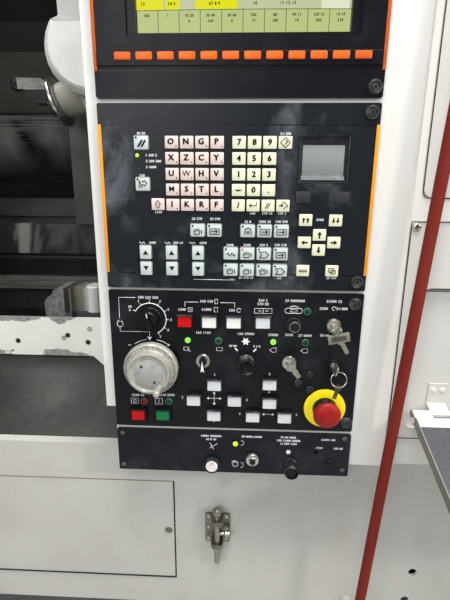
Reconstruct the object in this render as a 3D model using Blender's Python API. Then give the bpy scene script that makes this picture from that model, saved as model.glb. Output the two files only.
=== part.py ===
# CNC turning lathe with an upper milling head, a lower turret and a built-in operator console.
# Metres, X to the right, Y away from the operator, Z up, standing on Z = 0.
# Depths are counted into the machine from the face of the console panels.

import math

import bmesh
import bpy
from mathutils import Matrix, Vector

# Whole machine
MACHINE_WIDTH = 2.90
DISPLAY_BOTTOM = 1.476
DISPLAY_HEIGHT = 0.316
DISPLAY_TOP = DISPLAY_BOTTOM + DISPLAY_HEIGHT
GUARD_ABOVE_DISPLAY = 0.558
GUARD_TOP = DISPLAY_TOP + GUARD_ABOVE_DISPLAY
BACK_DEPTH = 1.55
HALF_WIDTH = MACHINE_WIDTH / 2
SHEET = 0.004
GUARD_WALL = 0.03
SEAT_GAP = 0.0003
RUN_GAP = 0.001
FOOT_RADIUS = 0.06
FOOT_HEIGHT = 0.08
BED_INSET = 0.07
BED_HALF = HALF_WIDTH - BED_INSET
BED_LIP_DEPTH = 0.121
BED_LIP_TOP = 0.63
BED_TABLE_DEPTH = 0.30
BED_TABLE_TOP = 0.80
BED_WALL_DEPTH = 0.925
BED_WALL_TOP = GUARD_TOP - 0.19
TANK_DEPTH = 0.10
TANK_TOP = 0.56
TANK_INSET = 0.20
TANK_HALF = HALF_WIDTH - TANK_INSET

# Front covers
CONSOLE_FROM_RIGHT = 0.736
CONSOLE_X = HALF_WIDTH - CONSOLE_FROM_RIGHT
PILLAR_DEPTH = 0.005
PILLAR_REACH = 0.198
PILLAR_LEFT = CONSOLE_X - PILLAR_REACH
PILLAR_BOTTOM = 0.943
PILLAR_STEP_X = CONSOLE_X + 0.239
PILLAR_STEP_DEPTH = 0.011
FLANGE_WIDTH = 0.014
FLANGE_BOTTOM = 1.034
COVER_BACK_DEPTH = 0.12
COVER_TOP = GUARD_TOP - 0.30
LOWER_FACE_DEPTH = 0.045
LOWER_BOTTOM = 0.601
SILL_TOP = 0.940
SILL_BACK_DEPTH = 0.062
LEFT_BAY_SPARE = 0.094
MOUTH_WIDTH = (HALF_WIDTH + PILLAR_LEFT - LEFT_BAY_SPARE) / 2
LEFT_COVER_RIGHT = PILLAR_LEFT - MOUTH_WIDTH
HEADER_SLOPE_BOTTOM = GUARD_TOP - 0.18
HEADER_SLOPE_DEPTH = 0.40
UPPER_COVER_LEFT = CONSOLE_X + 0.251
UPPER_COVER_BOTTOM = 1.354
UPPER_COVER_TOP = COVER_TOP - 0.06
UPPER_COVER_CORNER = 0.014
UPPER_COVER_SEAM = 0.0015
UPPER_COVER_THICK = 0.003
SIDE_MARGIN = 0.04
RIGHT_COVER_LEFT = CONSOLE_X + 0.240
RIGHT_COVER_TOP = 1.322
RIGHT_COVER_BOTTOM = 0.993
RIGHT_COVER_PROUD = 0.003
RECESS_LEFT = CONSOLE_X + 0.266
RECESS_RIGHT = HALF_WIDTH - SIDE_MARGIN - 0.025
RECESS_TOP = 1.23
RECESS_FLOOR = 0.008
RECESS_CORNER = 0.012

# Sliding door, access door and latch
DOOR_WIDTH = MOUTH_WIDTH - 0.006
DOOR_DEPTH = 0.005
DOOR_THICK = 0.035
DOOR_BOTTOM = 0.93
DOOR_TOP = COVER_TOP - 0.07
DOOR_PARKED_RIGHT = LEFT_COVER_RIGHT + 0.02
WINDOW_SIDE = 0.175
WINDOW_WIDTH = DOOR_WIDTH - 2 * WINDOW_SIDE
WINDOW_HEIGHT = 0.62
WINDOW_CENTRE_Z = 1.50
WINDOW_THICK = 0.012
TRACK_HEIGHT = 0.05
ACCESS_WIDTH = 0.661
ACCESS_RIGHT = CONSOLE_X - 0.103
ACCESS_LEFT = ACCESS_RIGHT - ACCESS_WIDTH
ACCESS_BOTTOM = 0.661
ACCESS_TOP = 0.869
ACCESS_GAP = 0.0015
ACCESS_HINGE_INSET = 0.0045
ACCESS_HINGE_RADIUS = 0.0028
LATCH_X = CONSOLE_X - 0.026
LATCH_PLATE_WIDTH = 0.044
LATCH_PLATE_BOTTOM = 0.749
LATCH_PLATE_TOP = 0.808
LATCH_PLATE_THICK = 0.003
LATCH_ROD_RADIUS = 0.0050
LATCH_ROD_DEPTH = 0.030
LATCH_ROD_BOTTOM = 0.712
LATCH_BALL_RADIUS = 0.0085
LATCH_BALL_Z = 0.822

# Folding shelf
SHELF_LENGTH = 0.185
SHELF_THICK = 0.012
SHELF_MAT = 0.003
SHELF_TILT = math.radians(20.0)
SHELF_SIDE_GAP = 0.002
HINGE_DEPTH = -0.001
HINGE_Z = 1.0385
HINGE_RADIUS = 0.0055
HINGE_PIN_RADIUS = 0.0020
HINGE_KNUCKLE = 0.028
HINGE_LEAF = 0.0016

# Work area
SPINDLE_DEPTH = 0.717
SPINDLE_Z = 1.15
HEADSTOCK_LEFT = -HALF_WIDTH + 0.13
HEADSTOCK_RIGHT = LEFT_COVER_RIGHT - 0.10
HEADSTOCK_TOP = 1.42
HEADSTOCK_HALF = 0.165
CHUCK_RADIUS = 0.105
CHUCK_LENGTH = 0.085
CHUCK_BORE = 0.026
JAW_COUNT = 3
JAW_WIDTH = 0.026
JAW_LENGTH = 0.036
JAW_INNER = 0.034
JAW_OUTER = 0.094
APRON_TOP = 1.0147
APRON_RIGHT = PILLAR_LEFT + 0.104
BEAM_DEPTH = 0.25
BEAM_BOTTOM = 1.015
BEAM_TOP = 1.101
BEAM_THICK = 0.005
BEAM_END_TOP = PILLAR_LEFT - 0.090
BEAM_END_BOTTOM = PILLAR_LEFT - 0.109
BEAM_LEFT = LEFT_COVER_RIGHT - 0.02
BEAM_LEG_FRONT = 0.325
TURRET_WIDTH = 0.155
TURRET_RIGHT = PILLAR_LEFT - 0.102
TURRET_LEFT = TURRET_RIGHT - TURRET_WIDTH
TURRET_FRONT = 0.33
TURRET_BACK = 0.48
TURRET_BODY_TOP = 1.06
RAIL_HEIGHT = 0.035
RAIL_PROUD = 0.03
LOWER_RAIL_Z = 1.29
UPPER_RAIL_Z = BED_WALL_TOP - 0.09
RAIL_LEFT = -HALF_WIDTH + 0.40
RAIL_RIGHT = HALF_WIDTH - 0.30
CARRIAGE_X = PILLAR_LEFT - 0.152
CARRIAGE_WIDTH = 0.40
CARRIAGE_FRONT = 0.825
CARRIAGE_BOTTOM = 1.25
CARRIAGE_TOP = BED_WALL_TOP - 0.04
HEAD_X = PILLAR_LEFT - 0.1955
HEAD_Z = 1.712
HEAD_BODY_RADIUS = 0.062
ARM_CLEAR = 0.010
ARM_THICK = 0.033
COVER_RISE = 0.032
ARM_BACK_DEPTH = SPINDLE_DEPTH - HEAD_BODY_RADIUS - ARM_CLEAR
HEAD_RIM_DEPTH = ARM_BACK_DEPTH - ARM_THICK
HEAD_FACE_DEPTH = HEAD_RIM_DEPTH - COVER_RISE
HEAD_FACE_RADIUS = 0.097
HEAD_RIM_RADIUS = 0.112
ARM_HALF = 0.077
COVER_FLAT_Z = 1.765
COVER_FLAT_SLOPE = math.radians(38.0)
RAM_HEADROOM = 0.06
RAM_TOP = GUARD_TOP - GUARD_WALL - RAM_HEADROOM
RAM_BLOCK_HEIGHT = 0.27
RAM_BLOCK_BOTTOM = RAM_TOP - RAM_BLOCK_HEIGHT
HEAD_TILT = math.radians(18.6)
HEAD_OFFSET = 0.057
HEAD_REACH = 0.159
NOSE_RADIUS = 0.069
GUARD_STRIP_CLEAR = 0.028
GUARD_STRIP_DEPTH = SPINDLE_DEPTH + CHUCK_RADIUS + GUARD_STRIP_CLEAR

# Console units, each a front plate with a smaller chassis behind it
UNIT_HALF = 0.1825
PLATE_THICK = 0.0047
CHASSIS_INSET = 0.0065
CHASSIS_DEPTH = 0.045
POCKET_GAP = 0.0015
KEYBOARD_BOTTOM = 1.226
KEYBOARD_TOP = 1.470
PANEL_BOTTOM = 1.004
PANEL_TOP = 1.222
AUXILIARY_BOTTOM = 0.9245
AUXILIARY_TOP = 0.998
SCREEN_WIDTH = 0.266
SCREEN_HEIGHT = 0.200
SCREEN_CENTRE_X = 0.005
SCREEN_BOTTOM = 1.551
SCREEN_SUNK = 0.012
SCREEN_BULGE = 0.004
BEZEL_SIDE = 0.0115
BEZEL_SUNK = 0.004
SOFT_KEY_COUNT = 12
SOFT_KEY_PITCH = 0.0272
SOFT_KEY_Z = 1.524
KEY_HEIGHT = 0.0025
KEY_PITCH = 0.020
PAD_SUNK = 0.003
BUTTON_WIDTH = 0.021
BUTTON_HEIGHT = 0.016
BUTTON_PROUD = 0.005
BUTTON_TRAVEL = 0.003
BUTTON_DEEP = 0.012
SHROUD_RIM = 0.002
SHROUD_PROUD = 0.006
KNOB_STEM = 0.003
KNOB_STEM_DEEP = 0.010
WHEEL_RADIUS = 0.040
DRUM_RADIUS = 0.031
DIAL_FACE = 0.014
WHEEL_FRONT = 0.028
WHEEL_CRANK_OFFSET = 0.0255
WHEEL_CRANK_ANGLE = math.radians(-52.0)
STOP_RING_RADIUS = 0.031
STOP_CAP_RADIUS = 0.020
STOP_COLLAR_RADIUS = 0.015
STOP_TRAVEL = 0.004

# Air hose
HOSE_RADIUS = 0.008
HOSE_DEPTH = -0.020
HOSE_FITTING_RADIUS = 0.011
HOSE_END_GAP = 0.0009
HOSE_TOP_Z = 1.985
HOSE_BOTTOM_Z = 0.665
HOSE_REACH = 0.2162
HOSE_MARK_Z = 0.702
HOSE_LEAN = 0.0637
AIR_HOLES = ((0.328, 0.695), (0.321, 0.631))
AIR_HOLE_RADIUS = 0.0075

# The console face plane sits so that the machine's footprint is centred on the origin
SHELF_SKIN = HINGE_RADIUS + SHELF_MAT
FRONT_REACH = HINGE_DEPTH - SHELF_LENGTH * math.cos(SHELF_TILT) - SHELF_SKIN * math.sin(SHELF_TILT)
FACE_Y = -(FRONT_REACH + BACK_DEPTH) / 2
UNIT_BOTTOMS = (DISPLAY_BOTTOM, KEYBOARD_BOTTOM, PANEL_BOTTOM, AUXILIARY_BOTTOM)
UNIT_TOPS = (DISPLAY_TOP, KEYBOARD_TOP, PANEL_TOP, AUXILIARY_TOP)

FINISHES = {
    "cabinet_paint": ((0.74, 0.73, 0.68), 0.42, 0.0),
    "casting_paint": ((0.40, 0.41, 0.40), 0.55, 0.0),
    "dark_panel": ((0.035, 0.042, 0.055), 0.45, 0.0),
    "black_plastic": ((0.02, 0.02, 0.022), 0.40, 0.0),
    "cream_paint": ((0.80, 0.77, 0.66), 0.50, 0.0),
    "dark_steel": ((0.16, 0.165, 0.17), 0.45, 0.7),
    "bright_steel": ((0.62, 0.62, 0.60), 0.25, 1.0),
    "worn_aluminium": ((0.66, 0.65, 0.61), 0.35, 1.0),
    "screen_glass": ((0.30, 0.42, 0.12), 0.15, 0.0),
    "window_glass": ((0.60, 0.66, 0.64), 0.08, 0.0),
    "key_white": ((0.78, 0.77, 0.72), 0.45, 0.0),
    "signal_red": ((0.62, 0.03, 0.02), 0.35, 0.0),
    "signal_green": ((0.03, 0.32, 0.12), 0.40, 0.0),
    "hose_rubber": ((0.30, 0.035, 0.03), 0.55, 0.0),
    "mat_rubber": ((0.07, 0.075, 0.08), 0.80, 0.0),
}


def clear_scene():
    for old in list(bpy.data.objects):
        bpy.data.objects.remove(old, do_unlink=True)


def material_of(name):
    made = bpy.data.materials.get(name)
    if made:
        return made
    colour, roughness, metallic = FINISHES[name]
    made = bpy.data.materials.new(name)
    made.use_nodes = True
    shader = made.node_tree.nodes["Principled BSDF"]
    shader.inputs["Base Color"].default_value = (*colour, 1.0)
    shader.inputs["Roughness"].default_value = roughness
    shader.inputs["Metallic"].default_value = metallic
    return made


def world_y(depth):
    return FACE_Y + depth


def console_x(offset):
    return CONSOLE_X + offset


def add_box(shape, xs, depths, zs):
    """One block between two x values, two depths and two heights."""
    low = Vector((min(xs), world_y(min(depths)), min(zs)))
    high = Vector((max(xs), world_y(max(depths)), max(zs)))
    size = high - low
    place = Matrix.Translation((low + high) / 2) @ Matrix.Diagonal((*size, 1.0))
    bmesh.ops.create_cube(shape, size=1.0, matrix=place)


def close_prism(shape, first_ring, second_ring):
    """Closes two matching rings of points into a solid."""
    near = [shape.verts.new(p) for p in first_ring]
    far = [shape.verts.new(p) for p in second_ring]
    count = len(near)
    shape.faces.new(near)
    shape.faces.new(list(reversed(far)))
    for i in range(count):
        j = (i + 1) % count
        shape.faces.new((near[j], near[i], far[i], far[j]))


def add_slab(shape, outline, depths):
    """An outline in x and z, thick from one depth to another."""
    near = [(x, world_y(depths[0]), z) for x, z in outline]
    far = [(x, world_y(depths[1]), z) for x, z in outline]
    close_prism(shape, near, far)


def add_run(shape, profile, xs):
    """A section in depth and z, run along x."""
    near = [(xs[0], world_y(d), z) for d, z in profile]
    far = [(xs[1], world_y(d), z) for d, z in profile]
    close_prism(shape, near, far)


def add_column(shape, plan, zs):
    """A plan in x and depth, run up z."""
    near = [(x, world_y(d), zs[0]) for x, d in plan]
    far = [(x, world_y(d), zs[1]) for x, d in plan]
    close_prism(shape, near, far)


def rounded_outline(left, right, bottom, top, radius, steps=3):
    """A rectangle with round corners, as points in x and z."""
    points = []
    corners = (
        (right - radius, bottom + radius, -90),
        (right - radius, top - radius, 0),
        (left + radius, top - radius, 90),
        (left + radius, bottom + radius, 180),
    )
    for x, z, start in corners:
        for i in range(steps + 1):
            angle = math.radians(start + 90 * i / steps)
            points.append((x + radius * math.cos(angle), z + radius * math.sin(angle)))
    return points


def add_turned(shape, profile, centre, axis, sides):
    """Turns (along, radius) pairs about an axis through centre. A radius of 0 closes to a point."""
    axis = Vector(axis).normalized()
    side = axis.orthogonal().normalized()
    other = axis.cross(side)
    rings = []
    for along, radius in profile:
        middle = Vector(centre) + axis * along
        if radius == 0.0:
            rings.append([shape.verts.new(middle)])
            continue
        ring = []
        for i in range(sides):
            angle = 2 * math.pi * i / sides
            offset = side * math.cos(angle) + other * math.sin(angle)
            ring.append(shape.verts.new(middle + offset * radius))
        rings.append(ring)
    for a, b in zip(rings, rings[1:]):
        for i in range(sides):
            j = (i + 1) % sides
            if len(a) == 1:
                shape.faces.new((a[0], b[i], b[j]))
            elif len(b) == 1:
                shape.faces.new((a[i], a[j], b[0]))
            else:
                shape.faces.new((a[i], a[j], b[j], b[i]))
    if len(rings[0]) > 1:
        shape.faces.new(rings[0])
    if len(rings[-1]) > 1:
        shape.faces.new(list(reversed(rings[-1])))


def point(x, depth, z):
    return Vector((x, world_y(depth), z))


def mesh_object(name, build):
    """Runs build on an empty mesh and returns an object that holds the result."""
    shape = bmesh.new()
    build(shape)
    bmesh.ops.recalc_face_normals(shape, faces=shape.faces[:])
    mesh = bpy.data.meshes.new(name)
    shape.to_mesh(mesh)
    shape.free()
    made = bpy.data.objects.new(name, mesh)
    bpy.context.scene.collection.objects.link(made)
    return made


def piece(name, finish, build, origin=None, smooth=True):
    """A named sub-part whose origin can be put on its joint's axis."""
    made = mesh_object(name, build)
    made.data.materials.append(material_of(finish))
    if smooth:
        made.data.shade_smooth()
        made.data.set_sharp_from_angle(angle=math.radians(35))
    if origin is not None:
        made.data.transform(Matrix.Translation(-Vector(origin)))
        made.location = origin
    return made


def combine(body, name, operation, build):
    """Adds one Boolean to body, with a hidden helper object."""
    helper = mesh_object(body.name + "_" + name, build)
    helper.hide_render = True
    helper.display_type = "WIRE"
    step = body.modifiers.new(name, "BOOLEAN")
    step.operation = operation
    step.solver = "EXACT"
    step.object = helper
    return step


def cut(body, name, build):
    return combine(body, name, "DIFFERENCE", build)


def join(body, name, build):
    return combine(body, name, "UNION", build)


def soften(body, width, segments=2, angle=50):
    bevel = body.modifiers.new("soft edges", "BEVEL")
    bevel.width = width
    bevel.segments = segments
    bevel.limit_method = "ANGLE"
    bevel.angle_limit = math.radians(angle)
    return bevel


# Base of the machine


def make_bed():
    profile = [
        (0.35, FOOT_HEIGHT),
        (0.35, BED_LIP_TOP - 0.055),
        (BED_LIP_DEPTH, BED_LIP_TOP - 0.03),
        (BED_LIP_DEPTH, BED_LIP_TOP),
        (BED_TABLE_DEPTH - 0.03, BED_LIP_TOP),
        (BED_TABLE_DEPTH, BED_TABLE_TOP),
        (BED_WALL_DEPTH, BED_TABLE_TOP),
        (BED_WALL_DEPTH, BED_WALL_TOP),
        (BED_WALL_DEPTH + 0.30, BED_WALL_TOP),
        (BACK_DEPTH - 0.15, 1.30),
        (BACK_DEPTH - 0.15, FOOT_HEIGHT),
    ]
    bed = piece("bed", "casting_paint", lambda s: add_run(s, profile, (-BED_HALF, BED_HALF)))

    def rails(shape):
        depths = (BED_WALL_DEPTH - RAIL_PROUD, BED_WALL_DEPTH + 0.01)
        for z in (LOWER_RAIL_Z, UPPER_RAIL_Z):
            heights = (z - RAIL_HEIGHT / 2, z + RAIL_HEIGHT / 2)
            add_box(shape, (RAIL_LEFT, RAIL_RIGHT), depths, heights)
        turret_rail = (BED_TABLE_TOP - 0.01, BED_TABLE_TOP + RAIL_PROUD)
        middle = (TURRET_FRONT + TURRET_BACK) / 2
        xs = (LEFT_COVER_RIGHT + 0.02, HALF_WIDTH - 0.35)
        add_box(shape, xs, (middle - 0.02, middle + 0.02), turret_rail)

    def guard_strips(shape):
        # Strips on the wall below the carriage: a bright one, a dark gap with a lip, and a lower ledge
        strip = GUARD_STRIP_DEPTH
        top = CARRIAGE_BOTTOM - RUN_GAP
        profile = [
            (BED_WALL_DEPTH + 0.01, top),
            (strip, top),
            (strip, top - 0.102),
            (strip + 0.040, top - 0.102),
            (strip + 0.040, top - 0.120),
            (strip + 0.020, top - 0.120),
            (strip + 0.020, top - 0.181),
            (strip - 0.005, top - 0.181),
            (strip - 0.005, top - 0.228),
            (strip + 0.050, top - 0.228),
            (strip + 0.050, top - 0.320),
            (BED_WALL_DEPTH + 0.01, top - 0.320),
        ]
        add_run(shape, profile, (HEADSTOCK_RIGHT + 0.01, RAIL_RIGHT))

    def feet(shape):
        for x in (-BED_HALF + 0.15, 0.0, BED_HALF - 0.15):
            for depth in (0.50, BACK_DEPTH - 0.30):
                foot = [(0.0, FOOT_RADIUS), (0.02, FOOT_RADIUS), (0.03, 0.03), (FOOT_HEIGHT + 0.01, 0.03)]
                add_turned(shape, foot, point(x, depth, 0.0), (0, 0, 1), 12)

    join(bed, "rails", rails)
    join(bed, "guard strips", guard_strips)
    join(bed, "feet", feet)


def make_coolant_tank():
    def tub(shape):
        outline = rounded_outline(-TANK_HALF, TANK_HALF, 0.02, TANK_TOP, 0.015)
        add_slab(shape, outline, (TANK_DEPTH, 0.345))

    def lid_and_skids(shape):
        half = TANK_HALF + 0.01
        add_box(shape, (-half, half), (TANK_DEPTH - 0.01, 0.347), (TANK_TOP - 0.008, TANK_TOP + 0.006))
        for x in (-TANK_HALF + 0.35, TANK_HALF - 0.35):
            add_box(shape, (x - 0.03, x + 0.03), (TANK_DEPTH + 0.02, 0.33), (0.0, 0.03))

    tank = piece("coolant_tank", "casting_paint", tub)
    join(tank, "lid", lid_and_skids)


def make_headstock():
    def body(shape):
        front = SPINDLE_DEPTH - HEADSTOCK_HALF
        back = SPINDLE_DEPTH + HEADSTOCK_HALF
        floor = BED_TABLE_TOP + SEAT_GAP
        slope = 0.06
        profile = [
            (front, floor),
            (front, HEADSTOCK_TOP - slope),
            (front + slope, HEADSTOCK_TOP),
            (back, HEADSTOCK_TOP),
            (back, floor),
        ]
        add_run(shape, profile, (HEADSTOCK_LEFT, HEADSTOCK_RIGHT))

    def nose(shape):
        centre = point(HEADSTOCK_RIGHT - 0.01, SPINDLE_DEPTH, SPINDLE_Z)
        add_turned(shape, [(0.0, 0.12), (0.03, 0.12), (0.04, 0.10)], centre, (1, 0, 0), 24)

    headstock = piece("headstock", "casting_paint", body)
    join(headstock, "nose", nose)


def make_chuck():
    face = HEADSTOCK_RIGHT + 0.03 + RUN_GAP
    centre = point(face, SPINDLE_DEPTH, SPINDLE_Z)

    def body(shape):
        rim = 0.004
        profile = [
            (0.0, CHUCK_BORE),
            (0.0, CHUCK_RADIUS - rim),
            (rim, CHUCK_RADIUS),
            (CHUCK_LENGTH - rim, CHUCK_RADIUS),
            (CHUCK_LENGTH, CHUCK_RADIUS - rim),
            (CHUCK_LENGTH, CHUCK_BORE),
        ]
        add_bored(shape, profile, centre, (1, 0, 0), 24)

    piece("chuck", "bright_steel", body, centre)
    for number in range(JAW_COUNT):
        make_jaw(number, face + CHUCK_LENGTH + SEAT_GAP)


def add_bored(shape, profile, centre, axis, sides):
    """As add_turned, for a closed section that never meets the axis."""
    axis = Vector(axis).normalized()
    side = axis.orthogonal().normalized()
    other = axis.cross(side)
    rings = []
    for along, radius in profile:
        middle = Vector(centre) + axis * along
        ring = []
        for i in range(sides):
            angle = 2 * math.pi * i / sides
            reach = side * math.cos(angle) + other * math.sin(angle)
            ring.append(shape.verts.new(middle + reach * radius))
        rings.append(ring)
    for a, b in zip(rings, rings[1:] + rings[:1]):
        for i in range(sides):
            j = (i + 1) % sides
            shape.faces.new((a[i], a[j], b[j], b[i]))


def make_jaw(number, x):
    """A stepped jaw, drawn upright and turned to its place round the chuck."""

    def body(shape):
        step = 0.014
        half = JAW_WIDTH / 2
        outline = [
            (x, JAW_INNER),
            (x + JAW_LENGTH, JAW_INNER),
            (x + JAW_LENGTH, JAW_INNER + step),
            (x + JAW_LENGTH / 2, JAW_INNER + step),
            (x + JAW_LENGTH / 2, JAW_OUTER - step),
            (x + JAW_LENGTH / 3, JAW_OUTER),
            (x, JAW_OUTER),
        ]
        near = [(a, world_y(SPINDLE_DEPTH) - half, SPINDLE_Z + r) for a, r in outline]
        far = [(a, world_y(SPINDLE_DEPTH) + half, SPINDLE_Z + r) for a, r in outline]
        close_prism(shape, near, far)
        centre = point(x, SPINDLE_DEPTH, SPINDLE_Z)
        turn = Matrix.Rotation(2 * math.pi * number / JAW_COUNT, 3, "X")
        bmesh.ops.rotate(shape, cent=centre, matrix=turn, verts=shape.verts[:])

    piece("chuck_jaw_" + str(number + 1), "bright_steel", body, point(x, SPINDLE_DEPTH, SPINDLE_Z))


# Upper carriage, ram and milling head


def make_way_cover():
    """Telescopic sheets between the carriage rails, each a step lower than the next."""
    back = BED_WALL_DEPTH - SEAT_GAP
    step = 0.004
    left_reach = CARRIAGE_X - CARRIAGE_WIDTH / 2 - RAIL_LEFT
    right_reach = RAIL_RIGHT - CARRIAGE_X - CARRIAGE_WIDTH / 2
    plan = [(RAIL_LEFT, back)]
    for i in range(4):
        x = RAIL_LEFT + left_reach * i / 4
        depth = back - 0.008 - step * i
        plan.append((x, depth))
        plan.append((RAIL_LEFT + left_reach * (i + 1) / 4, depth))
    for i in range(4):
        x = RAIL_RIGHT - right_reach * (3 - i + 1) / 4
        depth = back - 0.008 - step * (3 - i)
        plan.append((x, depth))
        plan.append((RAIL_RIGHT - right_reach * (3 - i) / 4, depth))
    plan.append((RAIL_RIGHT, back))
    edge = RAIL_HEIGHT / 2 + 0.03
    piece(
        "way_cover",
        "dark_steel",
        lambda s: add_column(s, plan, (LOWER_RAIL_Z + edge, UPPER_RAIL_Z - edge)),
        smooth=False,
    )


def make_carriage():
    slot_depth = BED_WALL_DEPTH - RAIL_PROUD - RUN_GAP
    shoe = BED_WALL_DEPTH - 0.006
    hollow = BED_WALL_DEPTH - 0.034
    reach = RAIL_HEIGHT / 2 + RUN_GAP
    leg = RAIL_HEIGHT / 2 + 0.026
    profile = [(CARRIAGE_FRONT, CARRIAGE_BOTTOM), (CARRIAGE_FRONT, CARRIAGE_TOP), (shoe, CARRIAGE_TOP)]
    for z in (UPPER_RAIL_Z, LOWER_RAIL_Z):
        inner = z - leg if z == UPPER_RAIL_Z else z - reach
        outer = z + reach if z == UPPER_RAIL_Z else z + leg
        if z == UPPER_RAIL_Z:
            profile += [(shoe, outer), (slot_depth, outer), (slot_depth, z - reach), (shoe, z - reach)]
            profile += [(shoe, inner), (hollow, inner)]
        else:
            profile += [(hollow, outer), (shoe, outer), (shoe, z + reach), (slot_depth, z + reach)]
            profile += [(slot_depth, inner), (shoe, inner)]
    profile.append((shoe, CARRIAGE_BOTTOM))
    half = CARRIAGE_WIDTH / 2
    centre = point(CARRIAGE_X, BED_WALL_DEPTH, LOWER_RAIL_Z)
    carriage = piece(
        "carriage",
        "casting_paint",
        lambda s: add_run(s, profile, (CARRIAGE_X - half, CARRIAGE_X + half)),
        centre,
        smooth=False,
    )

    def ram_way(shape):
        depths = (CARRIAGE_FRONT - 0.01, CARRIAGE_FRONT + 0.02)
        add_box(shape, (HEAD_X - 0.03, HEAD_X + 0.03), depths, (1.0, 2.4))

    cut(carriage, "ram way", ram_way)


def make_ram():
    """A block on the carriage with an arm in front, which carries the round swivel cover."""
    back = CARRIAGE_FRONT - RUN_GAP
    block = ARM_HALF + 0.02

    def body(shape):
        profile = [
            (HEAD_RIM_DEPTH, HEAD_Z - 0.04),
            (HEAD_RIM_DEPTH, RAM_TOP - 0.05),
            (HEAD_RIM_DEPTH + 0.05, RAM_TOP),
            (back, RAM_TOP),
            (back, RAM_BLOCK_BOTTOM),
            (ARM_BACK_DEPTH, RAM_BLOCK_BOTTOM - 0.02),
            (ARM_BACK_DEPTH, HEAD_Z - 0.04),
        ]
        add_run(shape, profile, (HEAD_X - ARM_HALF, HEAD_X + ARM_HALF))

    def cheeks_and_key(shape):
        depths = (ARM_BACK_DEPTH - 0.012, back - 0.004)
        add_box(shape, (HEAD_X - block, HEAD_X + block), depths, (RAM_BLOCK_BOTTOM + 0.012, RAM_TOP - 0.06))
        depths = (back - 0.01, CARRIAGE_FRONT + 0.018)
        add_box(shape, (HEAD_X - 0.029, HEAD_X + 0.029), depths, (RAM_BLOCK_BOTTOM + 0.02, RAM_TOP - 0.02))

    def swivel_cover(shape):
        centre = point(HEAD_X, HEAD_FACE_DEPTH, HEAD_Z)
        face = HEAD_FACE_RADIUS
        profile = [
            (0.0, face - 0.003),
            (0.003, face),
            (0.012, HEAD_RIM_RADIUS - 0.004),
            (0.016, HEAD_RIM_RADIUS),
            (HEAD_RIM_DEPTH - HEAD_FACE_DEPTH + 0.012, HEAD_RIM_RADIUS),
            (ARM_BACK_DEPTH - HEAD_FACE_DEPTH - 0.004, HEAD_RIM_RADIUS - 0.006),
        ]
        add_turned(shape, profile, centre, (0, 1, 0), 28)
        flat = bmesh.ops.bisect_plane(
            shape,
            geom=shape.verts[:] + shape.edges[:] + shape.faces[:],
            plane_co=point(HEAD_X, HEAD_FACE_DEPTH, COVER_FLAT_Z),
            plane_no=(0.0, -math.sin(COVER_FLAT_SLOPE), math.cos(COVER_FLAT_SLOPE)),
            clear_outer=True,
        )["geom_cut"]
        bmesh.ops.contextual_create(shape, geom=[e for e in flat if isinstance(e, bmesh.types.BMEdge)])

    ram = piece("ram", "cabinet_paint", body, point(HEAD_X, CARRIAGE_FRONT, HEAD_Z))
    join(ram, "cheeks", cheeks_and_key)
    join(ram, "swivel cover", swivel_cover)


def head_point(along, across):
    """A point on the milling head, along its tilted spindle and across it, above the swivel axis."""
    direction = Vector((-math.cos(HEAD_TILT), -math.sin(HEAD_TILT)))
    upward = Vector((-math.sin(HEAD_TILT), math.cos(HEAD_TILT)))
    spot = Vector((HEAD_X, HEAD_Z)) + direction * along + upward * across
    return spot.x, spot.y


def make_milling_head():
    front = ARM_BACK_DEPTH + RUN_GAP + 0.0012
    back = CARRIAGE_FRONT - 0.004
    axis = (-math.cos(HEAD_TILT), 0, -math.sin(HEAD_TILT))
    pivot = point(HEAD_X, SPINDLE_DEPTH, HEAD_Z)

    def housing(shape):
        outline = []
        for i in range(13):
            angle = math.radians(-60 + 240 * i / 12)
            outline.append(head_point(-0.095 * math.sin(angle), 0.095 * math.cos(angle)))
        outline.append(head_point(-0.060, -HEAD_OFFSET - 0.060))
        outline.append(head_point(0.075, -HEAD_OFFSET - 0.060))
        add_slab(shape, outline, (front, back))

    def nose(shape):
        x, z = head_point(0.02, -HEAD_OFFSET)
        profile = [
            (0.0, HEAD_BODY_RADIUS),
            (0.065, HEAD_BODY_RADIUS),
            (HEAD_REACH - 0.045, HEAD_BODY_RADIUS - 0.014),
            (HEAD_REACH - 0.02 - 0.0085, HEAD_BODY_RADIUS - 0.014),
        ]
        add_turned(shape, profile, point(x, SPINDLE_DEPTH, z), axis, 24)

    head = piece("milling_head", "casting_paint", housing, pivot)
    join(head, "nose", nose)


def make_milling_spindle():
    """The spindle's nose ring with a turning tool held in it."""
    axis = (-math.cos(HEAD_TILT), 0, -math.sin(HEAD_TILT))
    x, z = head_point(HEAD_REACH - 0.0075, -HEAD_OFFSET)
    centre = point(x, SPINDLE_DEPTH, z)

    def ring(shape):
        profile = [
            (0.0, NOSE_RADIUS - 0.006),
            (0.004, NOSE_RADIUS),
            (0.012, NOSE_RADIUS),
            (0.016, NOSE_RADIUS - 0.008),
            (0.020, 0.040),
            (0.034, 0.032),
        ]
        add_turned(shape, profile, centre, axis, 28)

    def holder(shape):
        outline = [(-0.2625, -0.0415), (-0.1785, -0.0445), (-0.1665, -0.0520), (-0.1345, -0.1100)]
        outline += [(-0.1985, -0.1100), (-0.2285, -0.0720), (-0.2625, -0.0730)]
        shifted = [(HEAD_X + a, HEAD_Z + b) for a, b in outline]
        add_slab(shape, shifted, (SPINDLE_DEPTH - 0.016, SPINDLE_DEPTH + 0.016))

    spindle = piece("milling_spindle", "bright_steel", ring, centre)
    join(spindle, "tool holder", holder)


# Lower turret and the guards in front of it


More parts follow.
